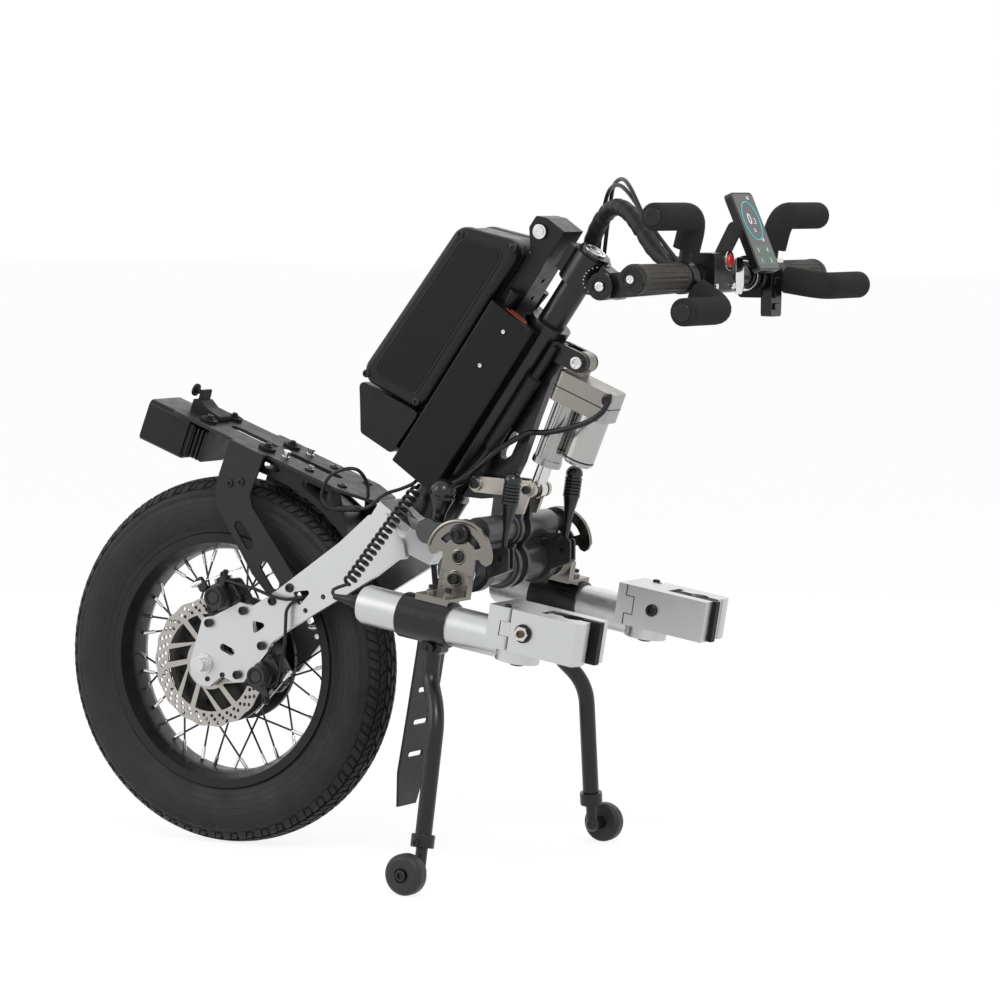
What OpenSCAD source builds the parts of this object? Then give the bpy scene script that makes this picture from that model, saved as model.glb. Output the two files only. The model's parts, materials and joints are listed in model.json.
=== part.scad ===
// Electric front-wheel power assist for a manual wheelchair.
// X points forward, Y to the left, Z up; the origin is on the ground below the middle of the part.

/* [Wheel] */
// Outer diameter of the tyre
wheel_d = 457; // [440:1:470]
// Width of the tyre
tyre_w = 76; // [66:1:80]
// Diameter of the tyre's bead seat on the rim
rim_d = 305; // [296:1:312]
// Width of the rim between its outer edges
rim_w = 62; // [54:1:66]
// Diameter of the hub motor shell
hub_d = 150; // [136:1:160]
// Width of the hub motor shell
hub_w = 72; // [60:1:78]
// Diameter of the motor axle
axle_d = 14; // [10:0.5:16]
// Number of spokes
spoke_count = 36; // [24:4:40]
// Diameter of a spoke
spoke_d = 2.6; // [2:0.1:3.4]
// Diameter of the brake disc
disc_d = 160; // [150:1:166]
// Thickness of the brake disc
disc_t = 2; // [1.6:0.1:2.6]

/* [Fork] */
// Clear width between the fork arms
fork_gap = 120; // [116:1:130]
// Thickness of a fork arm
fork_t = 8; // [6:0.5:10]
// Angle of the steering axis above the ground
head_angle = 55.4; // [54:0.2:57]
// Distance of the axle ahead of the steering axis
fork_offset = 122.4; // [120:0.2:126]
// Diameter of the steerer tube
steerer_d = 34; // [30:1:36]
// Outer diameter of the head tube
head_d = 50; // [46:1:52]

/* [Rack] */
// Width of the rack plate
rack_w = 100; // [92:1:104]
// Length of the rack plate
rack_len = 296; // [285:1:300]
// Thickness of the rack's sheet
rack_t = 4; // [3:0.5:5]
// Downward slope of the rack towards the rear
rack_slope = 20.3; // [19:0.1:21]

/* [Box and battery] */
// Width of the controller box
box_w = 96; // [90:1:104]
// Depth of the controller box ahead of the steering axis
box_depth = 62; // [58:1:62]
// Width of the battery case
battery_w = 86; // [76:1:90]
// Radius of the battery's side corners
battery_round = 12; // [6:1:16]

/* [Lift] */
// Thickness of the gusset frame's centre plate
gusset_t = 14; // [10:1:14]
// Diameter of the lift pivot pin
lift_pin_d = 12; // [10:0.5:14]
// Diameter of the actuator's tube
actuator_d = 36; // [32:1:36]
// Diameter of the actuator's motor
motor_d = 40; // [36:1:42]
// Diameter of the actuator's rod
rod_d = 18; // [14:1:20]

/* [Beam and clamps] */
// Outer diameter of the beam's lower tubes
lower_tube_d = 46; // [44:1:48]
// Outer diameter of the beam's upper tubes
upper_tube_d = 34; // [32:1:36]
// Diameter of the lower telescopic tube
lower_inner_d = 34; // [30:1:36]
// Diameter of the upper telescopic rod
upper_inner_d = 22; // [18:1:24]
// Distance of each clamp's centre from the middle
clamp_y = 163; // [160:1:168]
// Diameter of a clamp's motor tube
clamp_tube_d = 47; // [44:1:48]
// Downward tilt of the clamps towards the rear
clamp_tilt = 9; // [7:0.5:10]
// Diameter of the wheelchair frame tube that the jaws hold
chair_tube_d = 25.4; // [22:0.1:28]
// Height of the jaws
jaw_h = 50; // [44:1:54]

/* [Legs] */
// Diameter of a leg's tube
leg_d = 20; // [18:1:22]
// Diameter of the sliding foot tube
foot_d = 14; // [12:1:15]
// Diameter of a roller
roller_d = 49; // [44:1:54]
// Width of a roller
roller_w = 21; // [18:1:24]

/* [Handlebar] */
// Diameter of the handlebar tube
bar_d = 22.2; // [20:0.1:24]
// Overall width of the handlebar over its grips
bar_w = 484; // [470:2:500]
// Diameter of the ribbed grips
grip_d = 35; // [32:1:38]
// Diameter of the foam on the L bars
foam_d = 32; // [29:1:34]
// Reach of the foam bars from the middle
foam_reach = 222; // [214:1:228]

/* [Fits] */
// Radial clearance of pins and shafts that turn or slide
run_gap = 0.05; // [0.02:0.01:0.09]
// Gap between pieces that seat beside each other
seat_gap = 0.3; // [0.2:0.05:0.4]

/* [Hidden] */
$fn = 48;

// Colours as the object shows them
black = "#1b1b1d";
satin_black = "#26272a";
silver = "#c9ccd0";
stainless = "#a7a49f";
beige = "#b5aca0";
dark_grey = "#55575a";
rubber_black = "#232326";
foam_grey = "#3a3937";
lens_white = "#e8eef2";
red = "#c5281c";

// Overall places
wheel_r = wheel_d / 2;
bar_side = [-676, 489.5];
low_side = [-728, 453.5];
low_right = [-745, 477.5];
up_grip = [-690, 559.5];
rear_x = low_right.x - foam_d / 2;
origin_x = -(wheel_r + rear_x) / 2;
head_r = head_d / 2;
steerer_r = steerer_d / 2;

// Wheel stations along the axle
arm_in = fork_gap / 2;
arm_out = arm_in + fork_t;
disc_y = arm_in - 7;
rim_in_r = rim_d / 2 - 14;
rim_top = rim_d / 2 + 6;
flange_r = hub_d / 2 - 4;

// Stations along the steering axis, counted from the axle's foot point
crown_s = [281, 313];
head_s = [322, 597];
cup_s = 372;
cup_r = head_r + 6;
ring_h = 10;
ring_r = head_r + 1;
base_s = [664, 705];
base_r = 24;
box_s = [359, 597];
rail_s = [597, 712];
stem_pivot = [-39, 688];
stem_pin_r = 16;
stem_half = 12;

// Side-view points [x, z], with z counted from the axle
lift_pivot = [-356, 234.5];
rod_point = [-427, 230.5];
actuator_point = [-489, 383.5];
upper_point = [-394, 183];
lower_point = [-384, 138.5];
plate_pivot = [-392, 156];
actuator_run = rod_point - actuator_point;
actuator_len = norm(actuator_run);
actuator_angle = atan2(actuator_run.x, -actuator_run.y);

// Lateral stations of the beam
flange_t = 7;
flange_y = gusset_t / 2 + 0.5;
flange_out = flange_y + flange_t;
crank_t = 6;
crank_y = flange_out + seat_gap;
beam_end = 86;
arm_block_y = 112;
arm_block_t = 9.7;
angle_plate_y = arm_block_y + arm_block_t + seat_gap;
angle_plate_t = 4;
slot_r = norm(upper_point - plate_pivot);
slot_half = 4.6;
slot_sweep = 28;
slot_mid = atan2(upper_point.y - plate_pivot.y, upper_point.x - plate_pivot.x) - clamp_tilt;

// Clamp stations in the clamp's own tilted frame, whose origin is the angle plate's pivot
clamp_drop = 74.3;
tube_front = 96;
block_x = [-145, -88];
block_half = 35;
jaw_end = -208;
jaw_rise = 18;
jaw_low = jaw_rise - clamp_drop - jaw_h / 2;
jaw_hinge = [-108, 26];
knuckle_r = 8;
hinge_pin_r = 3;
mouth_half = 16;
mouth_mid = -1;
chair_tube_x = -180;
pad_face = 5;
band_x = [-26, 40];
band_wall = 3;

// Leg route from the clamp band to the foot, left side, z from the ground
leg_top = [-380, 161, 284];
leg_knee = [-372, 157, 244];
leg_bend = [-399, 186, 205];
leg_end = [-395, 212, 52];
collar_h = 15;
collar_r = leg_d / 2 + 4;
foot_slide = unit(leg_end - leg_bend);
roller_r = roller_d / 2;
foot_low = leg_end + foot_slide * ((leg_end.z - roller_r) / -foot_slide.z);
roller_y = foot_low.y + 22;
roller_pin_r = 4;

// Hand-chosen routes of the cords, z from the axle
loom_place = [-28, 20.5];
actuator_lead = [[-537, 25.5, 348], [-536, 29, 337], [-529, 33, 325], [-510, 34, 314], [-480, 32, 305], [-450, 24, 300],
    [-424, 15, 298], [-405, 22, 288], [-389, 31, 276], [-370, 34, 259], [-352, 34, 245]];
loom_route = [[-28, 20.5, 446], [-28, 22, 430], [-28, 28, 414], [-27, 34, 400], [-23, 38, 388], [-16, 39.5, 379],
    [-7.2, 40, 377]];
lamp_route = [[-211, 30, 212], [-212, 34, 230], [-208, 48, 246], [-195, 56, 248], [-172, 56, 238],
    [-161, 56, 217], [-165, 56, 204], [-178, 56, 199], [-200, 56, 199], [-220, 56, 201], [-232, 56, 206],
    [-241, 56, 214], [-252, 54, 221], [-266, 47, 226], [-278, 40, 232], [-283.5, 35, 238]];
sleeve_route = [[-470, -34, 470], [-474, -35, 500], [-483, -32, 530], [-503, -20, 556], [-528, -4, 568],
    [-555, 14, 561], [-580, 30, 541], [-605, 43, 518], [-634, 53, 503], [-662, 55, 501]];
cable_routes = [
    [[-484, -37, 478], [-486, -38, 505], [-490, -37, 535], [-499, -28, 566], [-516, -9, 588], [-540, 14, 594],
        [-566, 37, 584], [-594, 55, 560], [-620, 64, 534], [-642, 69, 512], [-655, 75, 502], [-658, 82.6, 499.5]],
    [[-489, -42, 478], [-491, -44, 505], [-495, -43, 536], [-504, -34, 569], [-520, -13, 594], [-544, 12, 601],
        [-568, 38, 591], [-594, 60, 564], [-620, 71, 530], [-641, 74, 503], [-654, 77, 489], [-656.5, 82.6, 486.5]]];
coil_from = [-254, 150, 118];
coil_to = [-284, 38, 228];
coil_tail = [[-240, 163, 107], [-241, 160, 112]];
coil_turns = 18;
coil_r = 6;
coil_cord_d = 4.4;

// Vector and outline functions
function unit(v) = v / norm(v);
function at(p, r, a) = p + r * [cos(a), sin(a)];
function corner_arc(a, p, b, r, n) =
    let (u = unit(a - p), v = unit(b - p), half = acos(u * v) / 2, c = p + unit(u + v) * r / sin(half),
        s0 = p + u * r / tan(half) - c, s1 = p + v * r / tan(half) - c,
        a0 = atan2(s0.y, s0.x), turn = (atan2(s1.y, s1.x) - a0 + 540) % 360 - 180)
    [for (k = [0 : n]) at(c, r, a0 + turn * k / n)];
function rounded(pts, r, n = 4) =
    let (m = len(pts))
    [for (i = [0 : m - 1]) each corner_arc(pts[(i + m - 1) % m], pts[i], pts[(i + 1) % m], r, n)];
function cap_arc(c, r, a) = [for (k = [0 : 12]) at(c, r, a + 15 * k)];
function column(t, s) =
    let (c = sin(head_angle), d = cos(head_angle)) [(t - fork_offset) * c - s * d, (t - fork_offset) * d + s * c];

// Sweep functions: a smooth path through hand-chosen points, and the frames along it
function catmull(a, b, c, d, u) =
    0.5 * (2 * b + (c - a) * u + (2 * a - 5 * b + 4 * c - d) * u * u + (3 * b - a - 3 * c + d) * u * u * u);
function smooth(p, n) =
    let (m = len(p) - 1)
    [for (i = [0 : m - 1]) for (k = [0 : n - 1])
        catmull(p[max(i - 1, 0)], p[i], p[i + 1], p[min(i + 2, m)], k / n), p[m]];
function tangents(p) =
    let (m = len(p) - 1) [for (i = [0 : m]) unit(p[min(i + 1, m)] - p[max(i - 1, 0)])];
function carried(t, n, i = 0) =
    i == len(t) ? [] : let (k = unit(n - t[i] * (n * t[i]))) concat([k], carried(t, k, i + 1));
function least_gap(p, d, skip) =
    min([for (i = [0 : len(p) - skip - 1]) for (k = [i + skip : len(p) - 1]) norm(p[i] - p[k])]) - d;

module tube(path, d, sides) {
    t = tangents(path);
    n = carried(t, unit(cross(t[0], [0.31, 0.42, 0.85])));
    m = len(path);
    rings = [for (i = [0 : m - 1]) for (k = [0 : sides - 1])
        path[i] + d / 2 * (cos(360 * k / sides) * n[i] + sin(360 * k / sides) * cross(t[i], n[i]))];
    walls = [for (i = [0 : m - 2]) for (k = [0 : sides - 1])
        let (a = i * sides + k, b = i * sides + (k + 1) % sides)
        each [[a, a + sides, b], [b, a + sides, b + sides]]];
    caps = [for (k = [1 : sides - 2])
        each [[0, k, k + 1], [(m - 1) * sides, (m - 1) * sides + k + 1, (m - 1) * sides + k]]];
    polyhedron(rings, concat(walls, caps));
}

// Placing modules
module place() {
    translate([origin_x, 0, 0]) children();
}
module from_axle() {
    translate([0, 0, wheel_r]) children();
}
module on_axle() {
    from_axle() rotate([-90, 0, 0]) children();
}
module on_column() {
    from_axle() rotate([0, head_angle - 90, 0]) translate([-fork_offset, 0, 0]) children();
}
module on_rack() {
    translate([rack_point.x, 0, rack_point.y + wheel_r]) rotate([0, -rack_slope, 0]) children();
}
module on_actuator() {
    translate([actuator_point.x, 0, actuator_point.y + wheel_r]) rotate([0, -actuator_angle, 0]) children();
}
module on_clamp(side) {
    mirror([0, side < 0 ? 1 : 0, 0])
        translate([plate_pivot.x, 0, plate_pivot.y + wheel_r]) rotate([0, -clamp_tilt, 0]) children();
}
module on_side(side) {
    mirror([0, side < 0 ? 1 : 0, 0]) children();
}
module both_sides() {
    children();
    mirror([0, 1, 0]) children();
}

// Shape modules: side_plate extrudes a side-view outline [x, z] from y by t
module side_plate(y, t) {
    translate([0, y + t, 0]) rotate([90, 0, 0]) linear_extrude(t) children();
}
module link(p, q, w) {
    a = atan2(q.y - p.y, q.x - p.x);
    polygon(concat(cap_arc(q, w / 2, a - 90), cap_arc(p, w / 2, a + 90)));
}
module rod(p, q, d) {
    run = q - p;
    translate(p) rotate([0, acos(run.z / norm(run)), atan2(run.y, run.x)]) cylinder(h = norm(run), d = d);
}
module cross_pin(p, y, len, r) {
    translate([p.x, y, p.y]) rotate([-90, 0, 0]) cylinder(h = len, r = r);
}
module block(x, y, z) {
    translate([x[0], y[0], z[0]]) cube([x[1] - x[0], y[1] - y[0], z[1] - z[0]]);
}

// Wheel
tread_rows = [-21, -7, 7, 21];
tread_depth = 3;
tyre_wall = 5;

module tyre() {
    section_h = wheel_r - rim_d / 2;
    crown_r = wheel_r - section_h / 2;
    half = rim_w / 2;
    bead = [[rim_top + 9.5, half - 6], [rim_top + 9.5, half - 1.5], [rim_top + 1, half - 2.6 - seat_gap],
        [rim_top - 6.6, half - 5.9 - seat_gap], [rim_top - 8, half - 11.5], [rim_top - 1.5, half - 11.5]];
    color(rubber_black) on_axle() {
        rotate_extrude($fn = 120) difference() {
            union() {
                translate([crown_r, 0]) scale([section_h / tyre_w, 1]) circle(d = tyre_w);
                for (side = [-1, 1])
                    translate([crown_r + 8, side * (tyre_w / 2 - 9)]) circle(r = 9.5);
            }
            translate([crown_r, 0]) scale([(section_h - 2 * tyre_wall) / (tyre_w - 2 * tyre_wall), 1])
                circle(d = tyre_w - 2 * tyre_wall);
            translate([0, -half + 7]) square([crown_r, rim_w - 14]);
            translate([0, -tyre_w]) square([rim_top + seat_gap, 2 * tyre_w]);
            for (row = tread_rows)
                translate([crown_r + section_h / 2 * sqrt(1 - pow(2 * row / tyre_w, 2)) - tread_depth, row - 1.6])
                    square([tread_depth * 2, 3.2]);
        }
        for (side = [0, 1])
            mirror([0, 0, side]) rotate_extrude($fn = 120) polygon(bead);
    }
}

module rim() {
    half = rim_w / 2;
    outline = [[rim_in_r, -11], [rim_in_r + 9, -half], [rim_top, -half], [rim_top, -half + 3],
        [rim_top - 7, -half + 6], [rim_top - 14, -half + 16], [rim_top - 14, half - 16],
        [rim_top - 7, half - 6], [rim_top, half - 3], [rim_top, half], [rim_in_r + 9, half], [rim_in_r, 11]];
    color(black) on_axle() rotate_extrude($fn = 120) polygon(outline);
}

module spokes() {
    nipple_len = 14;
    lean = 16;
    color("#33353a") on_axle() for (i = [0 : spoke_count - 1]) {
        side = i % 2 == 0 ? 1 : -1;
        twist = floor(i / 2) % 2 == 0 ? lean : -lean;
        a = i * 360 / spoke_count;
        low = [(flange_r + 7) * cos(a + twist), (flange_r + 7) * sin(a + twist), side * 24];
        high = [(rim_in_r - 1.1) * cos(a), (rim_in_r - 1.1) * sin(a), side * 4];
        rod(low, high, spoke_d);
        rod(high - nipple_len * unit(high - low), high, spoke_d + 2);
    }
}

module hub_motor() {
    half = hub_w / 2;
    boss_end = disc_y - seat_gap;
    color(satin_black) on_axle() difference() {
        union() {
            rotate_extrude() polygon(concat(
                [[axle_d / 2 + run_gap, -half - 6], [24, -half - 6], [27, -half]],
                [[flange_r - 10, -half], [flange_r - 2, -half + 8], [flange_r - 2, -28], [flange_r + 6, -27]],
                [[flange_r + 6, -21], [flange_r - 2, -20], [flange_r - 2, 20], [flange_r + 6, 21]],
                [[flange_r + 6, 27], [flange_r - 2, 28], [flange_r - 2, half - 8], [flange_r - 10, half]],
                [[29, half], [27, boss_end], [axle_d / 2 + run_gap, boss_end]]));
            for (i = [0 : 9])
                rotate(i * 36) translate([flange_r - 16, 0, half - 1]) cylinder(h = 4, r = 3.5);
        }
        for (i = [0 : 9])
            rotate(i * 36 + 18) translate([flange_r - 16, 0, half - 2]) cylinder(h = 4, r = 2);
    }
}

module disc_ring(r, count, hole_r, turn) {
    for (i = [0 : count - 1])
        rotate(i * 360 / count + turn) translate([r, 0]) circle(r = hole_r, $fn = 24);
}

module brake_disc() {
    r = disc_d / 2;
    waves = 12;
    color(stainless) on_axle() translate([0, 0, disc_y]) linear_extrude(disc_t) difference() {
        union() {
            difference() {
                circle(r = r, $fn = 96);
                disc_ring(r + 15, waves, 16.5, 0);
                circle(r = r - 23);
                disc_ring(r - 12, 2 * waves, 2.6, 6);
                disc_ring(r - 18, 2 * waves, 2, 12);
                disc_ring(r - 7, waves, 2, 15);
            }
            for (i = [0 : 5])
                rotate(i * 60) link([20, 6], [r - 20, -16], 9);
            circle(r = 29);
        }
        circle(r = axle_d / 2 + 4);
        disc_ring(22, 6, 2.6, 30);
    }
}

module axle() {
    end = arm_out + 12;
    color(stainless) on_axle() {
        translate([0, 0, -end]) cylinder(h = 2 * end, d = axle_d);
        for (side = [0, 1])
            mirror([0, 0, side]) {
                translate([0, 0, arm_out + seat_gap]) cylinder(h = 2, r = 13);
                translate([0, 0, arm_out + seat_gap + 2]) cylinder(h = 8, r = 10.5, $fn = 6);
                translate([0, 0, end - 2]) cylinder(h = 6, r = 9);
                translate([0, 0, hub_w / 2 + 6 + seat_gap + (side == 0 ? disc_y - hub_w / 2 - 4 : 0)])
                    cylinder(h = 3, r = 11);
            }
    }
}

// Fork
caliper_bolt_r = 3;
disc_room = 1.5;
caliper_bolts = [[[-8.4, 51], [-58, 69]], [[-85, 27.5], [-50, -10.5]]];
arm_outline = [[20, 2], [2, 57], [-14, 60], [-52, 79], [-70, 75], [-105, 96.5], [-194, 160], [-234, 194.5],
    [-259, 198], [-283, 163], [-287, 144], [-274, 142], [-245, 121], [-195, 91], [-121, 48.5], [-96, 30],
    [-92, 20], [-58, -19], [-44, -20], [-26, -14], [-8, -28], [8, -26], [19, -14]];

module arm_plate() {
    difference() {
        polygon(rounded(arm_outline, 4));
        circle(d = axle_d + 2 * seat_gap);
        link([-28, 22], [-40, 17], 9);
        polygon(rounded([[-70, 58], [-92, 54], [-72, 40]], 3));
        polygon(rounded([[-128, 96], [-156, 100], [-136, 78]], 3));
        for (p = [[-171, 92], [-146, 74]])
            translate(p) circle(r = 3.2);
        for (bolts = caliper_bolts)
            for (p = bolts)
                translate(p) circle(r = caliper_bolt_r + seat_gap);
    }
}

module fork_arm_left() {
    color(silver) from_axle() side_plate(arm_in, fork_t) arm_plate();
}

module fork_arm_right() {
    color(silver) from_axle() side_plate(-arm_out, fork_t) arm_plate();
}

module fork_crown() {
    color(silver) on_column() {
        difference() {
            translate([0, 0, crown_s[0]]) linear_extrude(crown_s[1] - crown_s[0])
                polygon(rounded([[42, -arm_in], [42, arm_in], [-12, arm_in], [-48, 34], [-48, -34],
                    [-12, -arm_in]], 3));
            for (y = [-36, 36])
                translate([18, y, crown_s[0] - 1]) cylinder(h = 60, r = 9);
        }
        translate([0, 0, crown_s[0]]) cylinder(h = base_s[1] - crown_s[0], r = steerer_r);
        translate([0, 0, crown_s[1]]) cylinder(h = head_s[0] - seat_gap - crown_s[1], r = head_r);
    }
}

module caliper(bolts) {
    run = bolts[1] - bolts[0];
    mid = (bolts[0] + bolts[1]) / 2;
    half = norm(run) / 2;
    inner = disc_y - 14;
    outer = arm_out + 10;
    ear_t = arm_in - seat_gap - (disc_y + disc_t + disc_room) - 0.2;
    difference() {
        translate([mid.x, 0, mid.y]) rotate([0, -atan2(run.y, run.x), 0]) {
            side_plate(inner, outer - inner)
                polygon(rounded([[-half - 5, -12.5], [half + 5, -12.5], [half - 3, -46], [-half + 3, -46]], 6));
            side_plate(arm_in - seat_gap - ear_t, ear_t) difference() {
                union() {
                    link([-half, 0], [half, 0], 17);
                    translate([-half, -18]) square([2 * half, 18]);
                }
                translate([-half + 12, -4]) square([2 * half - 24, 20]);
            }
            cross_pin([0, -26], outer, 9, 10);
            cross_pin([0, -26], outer + 9, 3, 6);
            for (x = [-half, half]) {
                cross_pin([x, 0], arm_in - 2, fork_t + 4, caliper_bolt_r);
                cross_pin([x, 0], arm_out + seat_gap, 5, 5.5);
            }
        }
        cross_pin([0, 0], disc_y - disc_room, disc_t + 2 * disc_room, disc_d / 2 + 2);
    }
}

module brake_calipers() {
    color(black) from_axle() for (bolts = caliper_bolts)
        caliper(bolts);
}

// Rack, its fittings and the headlight
rack_half = rack_w / 2;
rack_rise = 83;
rack_point = [60, wheel_r + rack_rise];
function rack_top(x) = [x, rack_point.y - (rack_point.x - x) * tan(rack_slope)];
function rack_under(x) = rack_top(x) - [0, (rack_t + seat_gap) / cos(rack_slope)];
leg_in = arm_in - seat_gap - rack_t + 0.3;
rack_slots = [[-69, -122], [-158, -222]];
rack_leg = [rack_top(-31) - [0, 0.5], [-16, 236], [-10, 217], [-12, 196], [-64, 114], [-92, 84], [-108, 74], [-135, 100],
    [-123, 116], [-63, 197], [-60, 211], [-68, 231], rack_top(-80) - [0, 0.5]];
leg_windows = [[[-45, 172], [-60, 150]], [[-82, 124], [-97, 103]]];

module rack_plate() {
    difference() {
        union() {
            polygon(rounded([[0, -rack_half], [0, rack_half], [-rack_len + 40, rack_half],
                [-rack_len, rack_half - 22], [-rack_len, -rack_half + 22], [-rack_len + 40, -rack_half]], 8));
            translate([-149, -leg_in - rack_t / 2]) square([52, 2 * leg_in + rack_t]);
        }
        for (s = rack_slots)
            link([s[0], 0], [s[1], 0], 16);
        for (y = [-1, 1])
            for (x = [-200, -250])
                translate([x, y * 30]) circle(r = 4);
    }
}

module rack() {
    color(satin_black) {
        on_rack() translate([0, 0, -rack_t]) linear_extrude(rack_t) rack_plate();
        both_sides() from_axle() side_plate(leg_in, rack_t) difference() {
            polygon(rounded(rack_leg, 3));
            for (w = leg_windows)
                link(w[0], w[1], 13);
            for (p = [[-32, 224], [-48, 226]])
                translate(p) circle(r = 4);
        }
    }
}

module rack_fittings() {
    color(satin_black) on_rack() {
        for (x = [-43, -134])
            for (y = [-29, 29])
                translate([x, y, 0]) {
                    cylinder(h = 4, r = 11);
                    translate([0, 0, 4]) cylinder(h = 2, r = 6);
                }
        for (y = [-29, 29])
            translate([-162, y, 0]) {
                cylinder(h = 3, r = 5);
                translate([0, 0, 3]) cylinder(h = 4, r = 3.5);
                translate([0, 0, 7]) cylinder(h = 3, r = 5);
            }
        side_plate(-14, 28) polygon(rounded([[-4, 0], [-4, 14], [-14, 16], [-26, 10], [-48, 7], [-48, 0]], 1.5));
        side_plate(-10, 20) polygon(rounded([[-8, 8], [-8, 28], [-12, 28], [-14, 8]], 1));
        translate([0, 0, 22]) rotate([0, 90, 0]) translate([0, 0, -12]) cylinder(h = 17, r = 3);
        translate([0, 0, 22]) rotate([0, 90, 0]) translate([0, 0, 3]) cylinder(h = 3, r = 8);
    }
}

lamp_half = 36;
lamp_x = [-48, 42];
lamp_z = [-58, -rack_t - seat_gap];
lamp_wall = 3;

module lamp_section(inset) {
    polygon(rounded([[lamp_z[0] + inset, -lamp_half + inset], [lamp_z[1] - inset, -lamp_half + inset],
        [lamp_z[1] - inset, lamp_half - inset], [lamp_z[0] + inset, lamp_half - inset]], 7));
}

module headlight_housing() {
    color(black) on_rack() difference() {
        union() {
            translate([lamp_x[0] + 26, 0, 0]) rotate([0, 90, 0]) mirror([1, 0, 0])
                linear_extrude(lamp_x[1] - lamp_x[0] - 26) lamp_section(0);
            translate([lamp_x[0] + 20, 0, 0]) rotate([0, 90, 0]) mirror([1, 0, 0])
                linear_extrude(8) lamp_section(3);
            for (i = [0 : 3])
                translate([lamp_x[0] + 6 * i, 0, 0]) rotate([0, 90, 0]) mirror([1, 0, 0])
                    linear_extrude(3) lamp_section(5);
            translate([lamp_x[0] + 2, 0, 0]) rotate([0, 90, 0]) mirror([1, 0, 0])
                linear_extrude(22) lamp_section(9);
        }
        translate([lamp_x[1] - 22, 0, 0]) rotate([0, 90, 0]) mirror([1, 0, 0])
            linear_extrude(30) lamp_section(lamp_wall + 1);
    }
}

module headlight_lens() {
    color(lens_white) on_rack() translate([lamp_x[1] - 22 + seat_gap, 0, 0]) rotate([0, 90, 0]) mirror([1, 0, 0])
        linear_extrude(16) lamp_section(lamp_wall + 1 + seat_gap);
}

// Mudguards
fender_gap = 17.5;
fender_r = wheel_r + fender_gap;
fender_t = 3;
fender_half = 42;
fender_arc = [102, 142];
flap_half = 34;
flap_line = [[-289, 139], [-293, 101], [-284, 40], [-269, -50], [-249, -164]];
flap_t = 3;

function arc_points(r, a0, a1, n) = [for (k = [0 : n]) at([0, 0], r, a0 + (a1 - a0) * k / n)];

module fender_web() {
    front = at([0, 0], fender_r, fender_arc[0]);
    back = at([0, 0], fender_r, fender_arc[1]);
    difference() {
        polygon(concat(arc_points(fender_r, fender_arc[0], fender_arc[1], 12),
            [rack_under(-176), rack_under(front.x)]));
        polygon(rounded([rack_under(-66) - [0, 7], rack_under(-112) - [0, 7], at([0, 0], fender_r + 8, 110),
            at([0, 0], fender_r + 8, 106)], 3));
        polygon(rounded([rack_under(-122) - [0, 7], rack_under(-164) - [0, 7], at([0, 0], fender_r + 7, 131),
            at([0, 0], fender_r + 8, 120)], 3));
    }
}

module flap_outline() {
    polygon(rounded([[-13, 150], [13, 150], [13, 96], [flap_half, 70], [flap_half, -120], [20, -170], [-20, -170],
        [-flap_half, -120], [-flap_half, 70], [-13, 96]], 9));
}

module mudguards() {
    color(black) {
        from_axle() {
            side_plate(-fender_half, 2 * fender_half) polygon(concat(
                arc_points(fender_r, fender_arc[0], fender_arc[1], 12),
                arc_points(fender_r + fender_t, fender_arc[1], fender_arc[0], 12)));
            both_sides() side_plate(fender_half - 3, 3) fender_web();
        }
        from_axle() intersection() {
            side_plate(-flap_half, 2 * flap_half) polygon(concat(flap_line,
                [for (i = [len(flap_line) - 1 : -1 : 0]) flap_line[i] - [flap_t, 0]]));
            translate([-400, 0, 0]) rotate([90, 0, 90]) linear_extrude(200) difference() {
                flap_outline();
                for (z = [-20, -60, -100])
                    link([-14, z], [14, z], 6);
                link([0, 118], [0, 130], 7);
            }
        }
    }
}

// Stem and handlebar
pivot_side = column(stem_pivot.x, stem_pivot.y);
bar_r = bar_d / 2;
hub_y = [106, 124];

module stem_base() {
    color(satin_black) on_column() difference() {
        union() {
            translate([0, 0, base_s[0]]) cylinder(h = base_s[1] - base_s[0], r = base_r);
            translate([0, 0, base_s[1]]) cylinder(h = 4, r = base_r - 4);
            side_plate(-stem_half, 2 * stem_half) link([-6, stem_pivot.y], stem_pivot, 2 * stem_pin_r);
            block([12, 30], [-11, 11], [base_s[0] + 3, base_s[1] - 3]);
        }
        translate([0, 0, base_s[0] - 1]) cylinder(h = base_s[1] - base_s[0] + 1 + seat_gap, r = steerer_r + 0.1);
        side_plate(-stem_half - 1, 2 * stem_half + 2) translate(stem_pivot) circle(r = 4 + run_gap);
        block([14, 40], [-1, 1], [base_s[0] - 1, base_s[1] + 5]);
    }
}

module stem_arm() {
    color(satin_black) from_axle() {
        difference() {
            union() {
                cross_pin(pivot_side, -22, 44, stem_pin_r + 0.5);
                side_plate(-18, 36) link(pivot_side, bar_side, 30);
                cross_pin(bar_side, -22, 44, 19);
            }
            side_plate(-stem_half - seat_gap, 2 * (stem_half + seat_gap))
                link(pivot_side, pivot_side + [24, -2], 2 * stem_pin_r + 8);
            cross_pin(bar_side, -40, 80, bar_r + 0.1);
        }
        cross_pin(pivot_side, -26, 52, 4);
        both_sides() cross_pin(pivot_side, 22, 3, 9);
    }
}

module handlebar() {
    half = bar_w / 2 - 3;
    color(black) from_axle() cross_pin(bar_side, -half, 2 * half, bar_r);
}

flutes = 18;
flute_r = 2.4;

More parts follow.
